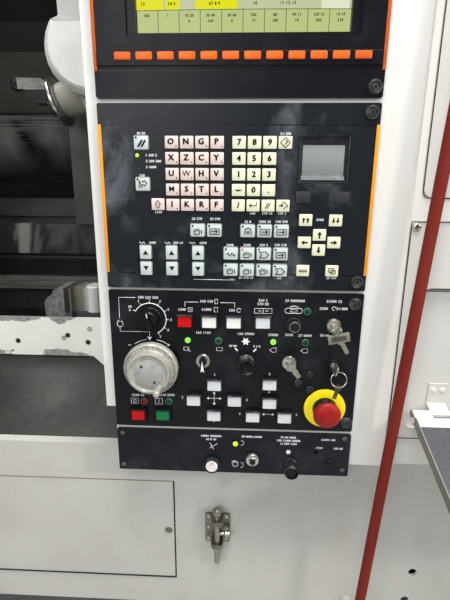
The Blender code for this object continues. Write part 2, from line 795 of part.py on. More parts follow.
def make_apron():
    """The sheet that slopes up from the sill to the turret cover."""
    front = SILL_BACK_DEPTH + SEAT_GAP
    back = BEAM_DEPTH + BEAM_THICK
    profile = [
        (front, SILL_TOP - 0.020),
        (front, SILL_TOP - 0.0010),
        (front + 0.0015, SILL_TOP),
        (back, APRON_TOP),
        (back, APRON_TOP - SHEET),
        (front + SHEET, SILL_TOP - SHEET),
        (front + SHEET, SILL_TOP - 0.020),
    ]
    left = LEFT_COVER_RIGHT + 0.0005
    apron = piece("apron", "dark_steel", lambda s: add_run(s, profile, (left, APRON_RIGHT)), smooth=False)

    def pillar_notch(shape):
        edge = PILLAR_LEFT + FLANGE_WIDTH - 0.0005
        add_box(shape, (edge, APRON_RIGHT + 0.1), (0.0, COVER_BACK_DEPTH + 0.0005), (0.8, 1.1))

    cut(apron, "pillar notch", pillar_notch)


def make_lower_turret_cover():
    """A folded plate across the front, whose right end turns towards the console."""
    reach = 0.123
    fold = 1.2
    end = (BEAM_END_BOTTOM + reach * fold, BEAM_DEPTH - reach)
    end_top = (BEAM_END_TOP + reach * fold, BEAM_DEPTH - reach)
    fall = (APRON_TOP - SILL_TOP) / (BEAM_DEPTH + BEAM_THICK - SILL_BACK_DEPTH - SEAT_GAP - 0.0015)

    def sheet(shape):
        points = [
            (BEAM_LEFT, BEAM_DEPTH, BEAM_BOTTOM),
            (BEAM_LEFT, BEAM_DEPTH, BEAM_TOP),
            (BEAM_END_TOP, BEAM_DEPTH, BEAM_TOP),
            (BEAM_END_BOTTOM, BEAM_DEPTH, BEAM_BOTTOM),
            (end_top[0], end_top[1], BEAM_TOP),
            (end[0], end[1], BEAM_BOTTOM - reach * fall + 0.0006),
        ]
        corners = [shape.verts.new(point(*p)) for p in points]
        shape.faces.new((corners[0], corners[1], corners[2], corners[3]))
        shape.faces.new((corners[3], corners[2], corners[4], corners[5]))

    cover = mesh_object("lower_turret_cover", sheet)
    cover.data.materials.append(material_of("cream_paint"))
    for face in cover.data.polygons:
        if face.normal.y > 0:
            cover.data.flip_normals()
            break
    wall = cover.modifiers.new("plate", "SOLIDIFY")
    wall.thickness = BEAM_THICK
    wall.offset = -1.0
    wall.use_even_offset = True

    def legs(shape):
        for x in (BEAM_LEFT + 0.05, BEAM_END_BOTTOM - 0.06):
            profile = [
                (BEAM_DEPTH + 0.002, BEAM_BOTTOM + 0.004),
                (BEAM_DEPTH + 0.002, BEAM_TOP - 0.004),
                (BEAM_DEPTH + 0.02, BEAM_TOP - 0.004),
                (BEAM_LEG_FRONT, BEAM_BOTTOM),
                (BEAM_LEG_FRONT, BED_TABLE_TOP + SEAT_GAP),
                (BED_TABLE_DEPTH + 0.002, BED_TABLE_TOP + SEAT_GAP),
                (BED_TABLE_DEPTH - 0.02, BED_TABLE_TOP + 0.03),
                (BEAM_DEPTH + 0.03, BEAM_BOTTOM - 0.03),
                (BEAM_DEPTH + 0.03, BEAM_BOTTOM + 0.004),
            ]
            add_run(shape, profile, (x, x + 0.01))

    join(cover, "legs", legs)


def make_lower_turret():
    middle = (TURRET_FRONT + TURRET_BACK) / 2
    floor = BED_TABLE_TOP + RUN_GAP
    slot = 0.02 + RUN_GAP
    slot_top = BED_TABLE_TOP + RAIL_PROUD + RUN_GAP
    profile = [
        (TURRET_FRONT, floor),
        (TURRET_FRONT, TURRET_BODY_TOP),
        (TURRET_BACK - 0.03, TURRET_BODY_TOP),
        (TURRET_BACK, TURRET_BODY_TOP - 0.03),
        (TURRET_BACK, floor),
        (middle + slot, floor),
        (middle + slot, slot_top),
        (middle - slot, slot_top),
        (middle - slot, floor),
    ]

    def tool_block(shape):
        steps = [(0.012, -0.010), (0.012, 0.052), (0.021, 0.064), (0.029, 0.064)]
        steps += [(0.035, 0.080), (0.074, 0.085), (0.074, -0.010)]
        outline = [(TURRET_LEFT + a, TURRET_BODY_TOP + b) for a, b in steps]
        add_slab(shape, outline, (TURRET_FRONT + 0.002, TURRET_FRONT + 0.09))

    def tool_shank(shape):
        depths = (TURRET_FRONT + 0.02, TURRET_FRONT + 0.08)
        heights = (TURRET_BODY_TOP - 0.013, TURRET_BODY_TOP + 0.082)
        add_box(shape, (TURRET_LEFT + 0.069, TURRET_LEFT + 0.113), depths, heights)

    def turned_pin(shape):
        centre = point(TURRET_LEFT + 0.1245, TURRET_FRONT + 0.026, TURRET_BODY_TOP - 0.012)
        add_turned(shape, [(0.0, 0.0215), (0.097, 0.0215), (0.100, 0.019)], centre, (0, 0, 1), 20)

    origin = point((TURRET_LEFT + TURRET_RIGHT) / 2, middle, BED_TABLE_TOP)
    xs = (TURRET_LEFT, TURRET_RIGHT)
    turret = piece("lower_turret", "dark_steel", lambda s: add_run(s, profile, xs), origin)
    join(turret, "tool block", tool_block)
    join(turret, "tool shank", tool_shank)
    join(turret, "tool pin", turned_pin)


# Sheet metal


def make_enclosure():
    """Sides, back, roof and the header over the door, with the track that the door hangs from."""
    front = COVER_BACK_DEPTH + SEAT_GAP
    low = 0.10
    outer = [
        (front, low),
        (front, COVER_TOP + SEAT_GAP),
        (LOWER_FACE_DEPTH, COVER_TOP + SEAT_GAP),
        (LOWER_FACE_DEPTH, HEADER_SLOPE_BOTTOM),
        (HEADER_SLOPE_DEPTH, GUARD_TOP),
        (BACK_DEPTH, GUARD_TOP),
        (BACK_DEPTH, low),
    ]
    wall = GUARD_WALL
    inner = [
        (front - 0.2, low - 0.1),
        (front - 0.2, COVER_TOP + SEAT_GAP - 0.08),
        (front + wall, COVER_TOP + SEAT_GAP + wall),
        (front + wall, HEADER_SLOPE_BOTTOM),
        (HEADER_SLOPE_DEPTH, GUARD_TOP - wall),
        (BACK_DEPTH - wall, GUARD_TOP - wall),
        (BACK_DEPTH - wall, low - 0.1),
    ]
    xs = (-HALF_WIDTH, HALF_WIDTH)
    shell = piece("enclosure", "cabinet_paint", lambda s: add_run(s, outer, xs), smooth=False)
    cut(shell, "inside", lambda s: add_run(s, inner, (-HALF_WIDTH + wall, HALF_WIDTH - wall)))

    def track(shape):
        top = COVER_TOP + 0.04
        low_edge = DOOR_TOP + 0.012
        profile = [
            (LOWER_FACE_DEPTH + 0.01, top),
            (DOOR_DEPTH - 0.016, top),
            (DOOR_DEPTH - 0.016, low_edge),
            (DOOR_DEPTH - 0.012, low_edge),
            (DOOR_DEPTH - 0.012, top - 0.006),
            (LOWER_FACE_DEPTH + 0.01, top - 0.006),
        ]
        right = console_x(-UNIT_HALF) - FLANGE_WIDTH
        add_run(shape, profile, (-HALF_WIDTH + 0.03, right))

    join(shell, "door track", track)


def make_left_cover():
    depths = (LOWER_FACE_DEPTH, COVER_BACK_DEPTH)

    def body(shape):
        outline = [
            (-HALF_WIDTH, SILL_TOP + SEAT_GAP),
            (-HALF_WIDTH, COVER_TOP),
            (LEFT_COVER_RIGHT, COVER_TOP),
            (LEFT_COVER_RIGHT, SILL_TOP + SEAT_GAP),
        ]
        add_slab(shape, outline, depths)

    cover = piece("left_cover", "cabinet_paint", body, smooth=False)

    def inside(shape):
        add_box(
            shape,
            (-HALF_WIDTH + SHEET, LEFT_COVER_RIGHT - SHEET),
            (LOWER_FACE_DEPTH + SHEET, COVER_BACK_DEPTH + 0.02),
            (SILL_TOP + SEAT_GAP + SHEET, COVER_TOP - SHEET),
        )

    cut(cover, "inside", inside)


def make_lower_cover():
    """The front skirt: an open-backed tray with the sill on top and an opening for the access door."""

    def body(shape):
        depths = (LOWER_FACE_DEPTH, COVER_BACK_DEPTH)
        add_box(shape, (-HALF_WIDTH, HALF_WIDTH), depths, (LOWER_BOTTOM, SILL_TOP))

    def inside(shape):
        add_box(
            shape,
            (-HALF_WIDTH + SHEET, HALF_WIDTH - SHEET),
            (LOWER_FACE_DEPTH + SHEET, COVER_BACK_DEPTH + 0.02),
            (LOWER_BOTTOM + SHEET, SILL_TOP - SHEET),
        )

    def sill(shape):
        xs = (LEFT_COVER_RIGHT, PILLAR_LEFT + FLANGE_WIDTH)
        add_box(shape, xs, (SILL_BACK_DEPTH, COVER_BACK_DEPTH + 0.02), (SILL_TOP - 0.03, SILL_TOP + 0.01))

    def access(shape):
        depths = (LOWER_FACE_DEPTH - 0.01, LOWER_FACE_DEPTH + 0.02)
        add_box(shape, (ACCESS_LEFT, ACCESS_RIGHT), depths, (ACCESS_BOTTOM, ACCESS_TOP))

    def air_inlet(shape):
        x = console_x(hose_offset(HOSE_BOTTOM_Z))
        add_elbow(shape, x, HOSE_BOTTOM_Z - HOSE_END_GAP, -1, LOWER_FACE_DEPTH + 0.002)

    def holes(shape):
        for x, z in AIR_HOLES:
            centre = point(console_x(x), LOWER_FACE_DEPTH - 0.01, z)
            add_turned(shape, [(0.0, AIR_HOLE_RADIUS), (0.02, AIR_HOLE_RADIUS)], centre, (0, 1, 0), 16)

    cover = piece("lower_cover", "cabinet_paint", body, smooth=False)
    cut(cover, "inside", inside)
    cut(cover, "sill", sill)
    cut(cover, "access opening", access)
    cut(cover, "holes", holes)
    join(cover, "air inlet", air_inlet)


def hose_offset(z):
    """How far right of the console's middle the hose runs at a height."""
    return HOSE_REACH + (z - HOSE_MARK_Z) * HOSE_LEAN


def add_elbow(shape, x, mouth_z, way, wall_depth):
    """A pipe out of a wall that bends up or down to a socket. way is 1 for a wall above the mouth."""
    bend = 0.012
    pipe_z = mouth_z + way * 0.040
    radius = HOSE_FITTING_RADIUS
    sides = 12
    path = [(HOSE_DEPTH, mouth_z), (HOSE_DEPTH, pipe_z - way * bend)]
    for i in range(1, 4):
        angle = math.radians(90 * i / 3)
        depth = HOSE_DEPTH + bend * (1 - math.cos(angle))
        path.append((depth, pipe_z - way * bend * (1 - math.sin(angle))))
    path.append((wall_depth, pipe_z))
    rings = []
    for i, (depth, z) in enumerate(path):
        before = Vector(path[max(i - 1, 0)])
        after = Vector(path[min(i + 1, len(path) - 1)])
        heading = (after - before).normalized()
        side = Vector((-heading.y, heading.x))
        ring = []
        for k in range(sides):
            angle = 2 * math.pi * k / sides
            out = side * (radius * math.cos(angle))
            ring.append(shape.verts.new(point(x + radius * math.sin(angle), depth + out.x, z + out.y)))
        rings.append(ring)
    for a, b in zip(rings, rings[1:]):
        for i in range(sides):
            j = (i + 1) % sides
            shape.faces.new((a[i], a[j], b[j], b[i]))
    shape.faces.new(rings[0])
    shape.faces.new(list(reversed(rings[-1])))


def make_access_door():
    """A flush door with a folded rim, hinged at its left edge and held by a turn screw."""
    left = ACCESS_LEFT + ACCESS_GAP
    right = ACCESS_RIGHT - ACCESS_GAP
    bottom = ACCESS_BOTTOM + ACCESS_GAP
    top = ACCESS_TOP - ACCESS_GAP
    axis = point(left + ACCESS_HINGE_INSET, LOWER_FACE_DEPTH + 0.0029, (bottom + top) / 2)

    def body(shape):
        add_box(shape, (left, right), (LOWER_FACE_DEPTH, LOWER_FACE_DEPTH + SHEET), (bottom, top))

    def screw(shape):
        centre = point(console_x(-0.114), LOWER_FACE_DEPTH - 0.002, 0.768)
        plug = [(0.0, 0.0065), (0.001, 0.008), (0.010, 0.008), (0.014, 0.005)]
        add_turned(shape, plug, centre, (0, 1, 0), 16)

    def barrel(shape):
        for z in (bottom + 0.02, top - 0.05):
            profile = [(0.0, ACCESS_HINGE_RADIUS), (0.030, ACCESS_HINGE_RADIUS)]
            add_turned(shape, profile, Vector((axis.x, axis.y, z)), (0, 0, 1), 12)

    door = piece("access_door", "cabinet_paint", body, axis)
    join(door, "turn screw", screw)
    join(door, "hinge barrels", barrel)


def make_pillar():
    """The front cover right of the door: console pillar, stepped back past the console."""
    units = list(zip(UNIT_BOTTOMS, UNIT_TOPS))

    def body(shape):
        notch = PILLAR_LEFT + FLANGE_WIDTH
        outline = [
            (notch, PILLAR_BOTTOM),
            (notch, FLANGE_BOTTOM),
            (PILLAR_LEFT, FLANGE_BOTTOM),
            (PILLAR_LEFT, COVER_TOP),
            (HALF_WIDTH, COVER_TOP),
            (HALF_WIDTH, PILLAR_BOTTOM),
        ]
        add_slab(shape, outline, (PILLAR_DEPTH, COVER_BACK_DEPTH))

    def step(shape):
        radius = PILLAR_STEP_DEPTH - PILLAR_DEPTH
        plan = [(HALF_WIDTH + 0.1, PILLAR_DEPTH - 0.05), (PILLAR_STEP_X - radius, PILLAR_DEPTH - 0.05)]
        for i in range(5):
            angle = math.radians(90 * i / 4)
            x = PILLAR_STEP_X - radius + radius * math.sin(angle)
            plan.append((x, PILLAR_STEP_DEPTH - radius * math.cos(angle)))
        plan.append((HALF_WIDTH + 0.1, PILLAR_STEP_DEPTH))
        add_column(shape, plan, (0.8, 2.2))

    def pockets(shape):
        half = UNIT_HALF - CHASSIS_INSET + POCKET_GAP
        for low, high in units:
            heights = (low + CHASSIS_INSET - POCKET_GAP, high - CHASSIS_INSET + POCKET_GAP)
            depths = (PILLAR_DEPTH - 0.02, CHASSIS_DEPTH + POCKET_GAP)
            add_box(shape, (console_x(-half), console_x(half)), depths, heights)

    def cover_pockets(shape):
        seam = UPPER_COVER_SEAM
        outline = rounded_outline(
            UPPER_COVER_LEFT - seam,
            HALF_WIDTH - SIDE_MARGIN + seam,
            UPPER_COVER_BOTTOM - seam,
            UPPER_COVER_TOP + seam,
            UPPER_COVER_CORNER,
        )
        floor = PILLAR_STEP_DEPTH - 0.0005 + UPPER_COVER_THICK + SEAT_GAP
        add_slab(shape, outline, (PILLAR_STEP_DEPTH - 0.02, floor))
        pan = rounded_outline(
            RECESS_LEFT - 2 * POCKET_GAP,
            RECESS_RIGHT + 2 * POCKET_GAP,
            RIGHT_COVER_BOTTOM + 0.01,
            RECESS_TOP + 2 * POCKET_GAP,
            RECESS_CORNER,
        )
        pan_floor = PILLAR_STEP_DEPTH + RECESS_FLOOR + 0.001
        add_slab(shape, pan, (PILLAR_STEP_DEPTH - 0.02, pan_floor))

    def air_outlet(shape):
        x = console_x(hose_offset(HOSE_TOP_Z))
        add_elbow(shape, x, HOSE_TOP_Z + HOSE_END_GAP, 1, PILLAR_STEP_DEPTH + 0.004)

    pillar = piece("pillar", "cabinet_paint", body, smooth=False)
    cut(pillar, "step", step)
    cut(pillar, "console pockets", pockets)
    cut(pillar, "cover pockets", cover_pockets)
    join(pillar, "air outlet", air_outlet)


def make_upper_right_cover():
    outline = rounded_outline(
        UPPER_COVER_LEFT, HALF_WIDTH - SIDE_MARGIN, UPPER_COVER_BOTTOM, UPPER_COVER_TOP, UPPER_COVER_CORNER
    )
    front = PILLAR_STEP_DEPTH - 0.0005
    depths = (front, front + UPPER_COVER_THICK)
    piece("upper_right_cover", "cabinet_paint", lambda s: add_slab(s, outline, depths))


def shelf_span():
    return RECESS_LEFT + SHELF_SIDE_GAP, RECESS_RIGHT - SHELF_SIDE_GAP


def knuckle_starts():
    """Where each of the two hinges begins, in from the shelf's ends."""
    left, right = shelf_span()
    return left, right - 3 * HINGE_KNUCKLE - 2 * SEAT_GAP


def make_right_cover():
    """A screwed-on cover with a shallow recess, and the fixed half of the shelf's hinges."""
    front = PILLAR_STEP_DEPTH - RIGHT_COVER_PROUD
    floor = PILLAR_STEP_DEPTH + RECESS_FLOOR - SHEET / 2
    back = PILLAR_STEP_DEPTH + RECESS_FLOOR

    def plate(shape):
        right = HALF_WIDTH - SIDE_MARGIN
        outline = rounded_outline(RIGHT_COVER_LEFT, right, RIGHT_COVER_BOTTOM, RIGHT_COVER_TOP, 0.006)
        add_slab(shape, outline, (front, PILLAR_STEP_DEPTH - SEAT_GAP))

    def pan(shape):
        outline = rounded_outline(
            RECESS_LEFT - POCKET_GAP,
            RECESS_RIGHT + POCKET_GAP,
            RIGHT_COVER_BOTTOM + 0.012,
            RECESS_TOP + POCKET_GAP,
            RECESS_CORNER,
        )
        add_slab(shape, outline, (front + 0.001, back))

    def recess(shape):
        outline = rounded_outline(
            RECESS_LEFT, RECESS_RIGHT, RIGHT_COVER_BOTTOM + 0.014, RECESS_TOP, RECESS_CORNER
        )
        add_slab(shape, outline, (front - 0.01, floor))

    def hinge_halves(shape):
        for start in knuckle_starts():
            middle = start + HINGE_KNUCKLE + SEAT_GAP
            leaf = [
                (HINGE_DEPTH - 0.001, HINGE_Z),
                (HINGE_DEPTH + 0.001, HINGE_Z + HINGE_RADIUS - 0.0008),
                (floor - HINGE_LEAF, HINGE_Z + 0.010),
                (floor - HINGE_LEAF, HINGE_Z + 0.042),
                (floor + 0.001, HINGE_Z + 0.042),
                (floor + 0.001, HINGE_Z + 0.006),
            ]
            add_run(shape, leaf, (middle, middle + HINGE_KNUCKLE))

    def knuckles(shape):
        for start in knuckle_starts():
            middle = start + HINGE_KNUCKLE + SEAT_GAP
            length = HINGE_KNUCKLE
            reach = HINGE_KNUCKLE - 0.006
            pin = HINGE_PIN_RADIUS
            profile = [
                (-reach, pin),
                (0.0, pin),
                (0.0, HINGE_RADIUS),
                (length, HINGE_RADIUS),
                (length, pin),
                (length + reach, pin),
            ]
            add_turned(shape, profile, point(middle, HINGE_DEPTH, HINGE_Z), (1, 0, 0), 12)

    cover = piece("right_cover", "cabinet_paint", plate)
    join(cover, "pan", pan)
    cut(cover, "recess", recess)
    join(cover, "hinge leaves", hinge_halves)
    join(cover, "knuckles", knuckles)


def make_shelf():
    """A tray that rests sloping down and folds up against the recess."""
    left, right = shelf_span()
    cosine, sine = math.cos(SHELF_TILT), math.sin(SHELF_TILT)

    def slanted(along, above):
        """A point along the shelf from the hinge axis and above its middle line, as depth and z."""
        return HINGE_DEPTH - along * cosine - above * sine, HINGE_Z - along * sine + above * cosine

    start = HINGE_RADIUS + 0.0095
    rim = 0.0012
    top = HINGE_RADIUS
    bottom = HINGE_RADIUS - SHELF_THICK
    mat_top = HINGE_RADIUS + SHELF_MAT

    def tray(shape):
        section = [(start, bottom), (SHELF_LENGTH, bottom), (SHELF_LENGTH, mat_top), (start, mat_top)]
        add_run(shape, [slanted(a, b) for a, b in section], (left, right))

    def underside(shape):
        section = [
            (start + 2 * rim, bottom - 0.01),
            (SHELF_LENGTH - 2 * rim, bottom - 0.01),
            (SHELF_LENGTH - 2 * rim, top - 0.003),
            (start + 2 * rim, top - 0.003),
        ]
        add_run(shape, [slanted(a, b) for a, b in section], (left + 2 * rim, right - 2 * rim))

    def leaves(shape):
        section = [
            (0.0, top - 2 * HINGE_LEAF),
            (start + 0.006, top - 2 * HINGE_LEAF),
            (start + 0.006, top - 0.0004),
            (0.0, top - 0.0004),
        ]
        for begin in knuckle_starts():
            for shift in (0.0, 2 * (HINGE_KNUCKLE + SEAT_GAP)):
                x = begin + shift
                add_run(shape, [slanted(a, b) for a, b in section], (x, x + HINGE_KNUCKLE))

    def knuckles(shape):
        for begin in knuckle_starts():
            for shift in (0.0, 2 * (HINGE_KNUCKLE + SEAT_GAP)):
                add_turned(
                    shape,
                    [(0.0, HINGE_RADIUS), (HINGE_KNUCKLE, HINGE_RADIUS)],
                    point(begin + shift, HINGE_DEPTH, HINGE_Z),
                    (1, 0, 0),
                    12,
                )

    def pin_holes(shape):
        bore = HINGE_PIN_RADIUS + SEAT_GAP
        for begin in knuckle_starts():
            first = begin + HINGE_KNUCKLE + 0.004
            inside = HINGE_KNUCKLE - 0.001
            third = begin + 2 * (HINGE_KNUCKLE + SEAT_GAP) - 0.004
            for x in (first - inside - 0.0, third):
                spot = point(x, HINGE_DEPTH, HINGE_Z)
                add_turned(shape, [(0.0, bore), (inside, bore)], spot, (1, 0, 0), 12)

    shelf = piece("shelf", "mat_rubber", tray, point((left + right) / 2, HINGE_DEPTH, HINGE_Z))
    cut(shelf, "underside", underside)
    join(shelf, "leaves", leaves)
    join(shelf, "knuckles", knuckles)
    cut(shelf, "pin holes", pin_holes)


def make_sliding_door():
    """A framed door hung from the header, parked open to the left."""
    left = DOOR_PARKED_RIGHT - DOOR_WIDTH
    right = DOOR_PARKED_RIGHT
    middle = (left + right) / 2
    depths = (DOOR_DEPTH, DOOR_DEPTH + DOOR_THICK)

    def body(shape):
        outline = rounded_outline(left, right, DOOR_BOTTOM, DOOR_TOP, 0.006)
        add_slab(shape, outline, depths)

    def window_hole(shape):
        outline = rounded_outline(
            middle - WINDOW_WIDTH / 2,
            middle + WINDOW_WIDTH / 2,
            WINDOW_CENTRE_Z - WINDOW_HEIGHT / 2,
            WINDOW_CENTRE_Z + WINDOW_HEIGHT / 2,
            0.04,
            4,
        )
        add_slab(shape, outline, (DOOR_DEPTH - 0.02, DOOR_DEPTH + DOOR_THICK + 0.02))

    def glazing_seat(shape):
        rim = 0.014
        outline = rounded_outline(
            middle - WINDOW_WIDTH / 2 - rim,
            middle + WINDOW_WIDTH / 2 + rim,
            WINDOW_CENTRE_Z - WINDOW_HEIGHT / 2 - rim,
            WINDOW_CENTRE_Z + WINDOW_HEIGHT / 2 + rim,
            0.05,
            4,
        )
        seat = DOOR_DEPTH + DOOR_THICK - WINDOW_THICK - SEAT_GAP
        add_slab(shape, outline, (seat, DOOR_DEPTH + DOOR_THICK + 0.02))

    def hanger(shape):
        depths = (DOOR_DEPTH - 0.006, DOOR_DEPTH + 0.004)
        add_box(shape, (left + 0.05, right - 0.05), depths, (DOOR_TOP - 0.03, DOOR_TOP + 0.035))

    def handle(shape):
        x = right - 0.07
        for z in (1.20, 1.40):
            depths = (DOOR_DEPTH - 0.036, DOOR_DEPTH + 0.004)
            add_box(shape, (x - 0.01, x + 0.01), depths, (z - 0.012, z + 0.012))

    def grip(shape):
        centre = point(right - 0.07, DOOR_DEPTH - 0.036, 1.16)
        grip = [(0.0, 0.010), (0.004, 0.013), (0.276, 0.013), (0.28, 0.010)]
        add_turned(shape, grip, centre, (0, 0, 1), 16)

    origin = point(middle, DOOR_DEPTH, DOOR_TOP)
    door = piece("sliding_door", "cabinet_paint", body, origin, smooth=False)
    cut(door, "window", window_hole)
    cut(door, "glazing seat", glazing_seat)
    join(door, "hanger", hanger)
    join(door, "handle posts", handle)
    join(door, "grip", grip)

    def glass(shape):
        rim = 0.0125
        outline = rounded_outline(
            middle - WINDOW_WIDTH / 2 - rim,
            middle + WINDOW_WIDTH / 2 + rim,
            WINDOW_CENTRE_Z - WINDOW_HEIGHT / 2 - rim,
            WINDOW_CENTRE_Z + WINDOW_HEIGHT / 2 + rim,
            0.0485,
            4,
        )
        back = DOOR_DEPTH + DOOR_THICK
        add_slab(shape, outline, (back - WINDOW_THICK, back))

    piece("door_window", "window_glass", glass)


def make_latch():
    face = LOWER_FACE_DEPTH - SEAT_GAP
    left = LATCH_X - LATCH_PLATE_WIDTH / 2
    right = LATCH_X + LATCH_PLATE_WIDTH / 2

    def plate(shape):
        outline = rounded_outline(left, right, LATCH_PLATE_BOTTOM, LATCH_PLATE_TOP, 0.003)
        add_slab(shape, outline, (face - LATCH_PLATE_THICK, face))

    def guides(shape):
        for z in (LATCH_PLATE_BOTTOM + 0.002, LATCH_PLATE_TOP - 0.010):
            plan = [
                (LATCH_X - 0.0105, face - 0.001),
                (LATCH_X - 0.0105, LATCH_ROD_DEPTH - 0.004),
                (LATCH_X - 0.006, LATCH_ROD_DEPTH - 0.009),
                (LATCH_X + 0.006, LATCH_ROD_DEPTH - 0.009),
                (LATCH_X + 0.0105, LATCH_ROD_DEPTH - 0.004),
                (LATCH_X + 0.0105, face - 0.001),
            ]
            add_column(shape, plan, (z, z + 0.008))

    def rod_way(shape):
        centre = point(LATCH_X, LATCH_ROD_DEPTH, LATCH_PLATE_BOTTOM - 0.02)
        radius = LATCH_ROD_RADIUS + 0.0004
        add_turned(shape, [(0.0, radius), (0.12, radius)], centre, (0, 0, 1), 16)

    body = piece("latch_plate", "bright_steel", plate)
    join(body, "guides", guides)
    cut(body, "rod way", rod_way)

    def rod(shape):
        radius = LATCH_ROD_RADIUS
        profile = [(0.0, 0.0), (0.0005, 0.0032), (0.004, radius)]
        profile += [(LATCH_BALL_Z - LATCH_BALL_RADIUS - LATCH_ROD_BOTTOM, radius)]
        for i in range(1, 6):
            angle = math.radians(-45 + 135 * i / 5)
            profile.append(
                (
                    LATCH_BALL_Z - LATCH_ROD_BOTTOM + LATCH_BALL_RADIUS * math.sin(angle),
                    LATCH_BALL_RADIUS * math.cos(angle) if i < 5 else 0.0,
                )
            )
        add_turned(shape, profile, point(LATCH_X, LATCH_ROD_DEPTH, LATCH_ROD_BOTTOM), (0, 0, 1), 16)

    def side_knob(shape):
        centre = point(LATCH_X, LATCH_ROD_DEPTH, 0.7765)
        profile = [(0.002, 0.003), (0.012, 0.003), (0.014, 0.0055), (0.022, 0.0055), (0.024, 0.003)]
        add_turned(shape, profile, centre, (1, 0, 0), 12)

    bolt = piece("latch_bolt", "bright_steel", rod, point(LATCH_X, LATCH_ROD_DEPTH, LATCH_ROD_BOTTOM))
    join(bolt, "side knob", side_knob)


def make_air_hose():
    """The hose runs almost straight between its two elbows."""
    count = 12
    route = bpy.data.curves.new("air_hose", "CURVE")
    route.dimensions = "3D"
    route.bevel_depth = HOSE_RADIUS
    route.bevel_resolution = 3
    route.use_fill_caps = True
    spline = route.splines.new("POLY")
    spline.points.add(count - 1)
    for i in range(count):
        z = HOSE_BOTTOM_Z + (HOSE_TOP_Z - HOSE_BOTTOM_Z) * i / (count - 1)
        spot = point(console_x(hose_offset(z)), HOSE_DEPTH, z)
        spline.points[i].co = (*spot, 1.0)
    hose = bpy.data.objects.new("air_hose", route)
    bpy.context.scene.collection.objects.link(hose)
    route.materials.append(material_of("hose_rubber"))


# Console


def make_unit(name, bottom, top, chassis_bottom=None):
    """A panel: thin front plate, smaller chassis behind it in the pillar's pocket."""
    floor = bottom + CHASSIS_INSET if chassis_bottom is None else chassis_bottom

    def plate(shape):
        outline = rounded_outline(console_x(-UNIT_HALF), console_x(UNIT_HALF), bottom, top, 0.0015, 1)
        add_slab(shape, outline, (0.0, PLATE_THICK))

    def chassis(shape):
        half = UNIT_HALF - CHASSIS_INSET
        depths = (PLATE_THICK / 2, CHASSIS_DEPTH)
        add_box(shape, (console_x(-half), console_x(half)), depths, (floor, top - CHASSIS_INSET))

    unit = piece(name, "dark_panel", plate, smooth=False)
    join(unit, "chassis", chassis)
    return unit


def add_key(shape, x, z, width, height, rise=KEY_HEIGHT):
    xs = (console_x(x - width / 2), console_x(x + width / 2))
    add_box(shape, xs, (-rise, 0.001), (z - height / 2, z + height / 2))


def make_display_unit():
    unit = make_unit("display_unit", DISPLAY_BOTTOM, DISPLAY_TOP)
    left = console_x(SCREEN_CENTRE_X - SCREEN_WIDTH / 2)
    right = console_x(SCREEN_CENTRE_X + SCREEN_WIDTH / 2)
    top = SCREEN_BOTTOM + SCREEN_HEIGHT

    def bezel(shape):
        side = BEZEL_SIDE
        outline = rounded_outline(left - side, right + side, SCREEN_BOTTOM - 0.0055, top + 0.0055, 0.004)
        add_slab(shape, outline, (-0.01, BEZEL_SUNK))

    def opening(shape):
        add_box(shape, (left, right), (-0.01, SCREEN_SUNK + 0.008), (SCREEN_BOTTOM, top))

    def side_slot(shape):
        add_box(shape, (console_x(0.156), console_x(0.177)), (-0.01, 0.003), (1.585, 1.75))

    def soft_keys(shape):
        first = -0.1452
        for i in range(SOFT_KEY_COUNT):
            add_key(shape, first + SOFT_KEY_PITCH * i, SOFT_KEY_Z, 0.0205, 0.009, 0.003)

    def lower_ledge(shape):
        half = UNIT_HALF - 0.004
        profile = [(-0.0015, 1.5135), (-0.0015, 1.5290), (0.001, 1.5310), (0.001, 1.5115)]
        add_run(shape, profile, (console_x(-half), console_x(half)))

    cut(unit, "bezel", bezel)
    cut(unit, "opening", opening)
    cut(unit, "side slot", side_slot)
    join(unit, "ledge", lower_ledge)
    join(unit, "soft keys", soft_keys)

    def glass(shape):
        rows, columns = 4, 6
        gap = 0.0003
        corners = []
        for j in range(rows + 1):
            line = []
            for i in range(columns + 1):
                u = -1 + 2 * i / columns
                v = -1 + 2 * j / rows
                x = (left + right) / 2 + u * (SCREEN_WIDTH / 2 - gap)
                z = SCREEN_BOTTOM + SCREEN_HEIGHT / 2 + v * (SCREEN_HEIGHT / 2 - gap)
                bulge = SCREEN_BULGE * (1 - 0.5 * u * u - 0.5 * v * v)
                line.append(shape.verts.new(point(x, SCREEN_SUNK - bulge, z)))
            corners.append(line)
        for j in range(rows):
            for i in range(columns):
                low, high = corners[j], corners[j + 1]
                shape.faces.new((low[i], low[i + 1], high[i + 1], high[i]))
        rim = [e for e in shape.edges if e.is_boundary]
        grown = bmesh.ops.extrude_edge_only(shape, edges=rim)["geom"]
        moved = [v for v in grown if isinstance(v, bmesh.types.BMVert)]
        for v in moved:
            v.co.y = world_y(SCREEN_SUNK + 0.008 - SEAT_GAP)
        bmesh.ops.holes_fill(shape, edges=[e for e in shape.edges if e.is_boundary])

    piece("display_screen", "screen_glass", glass)


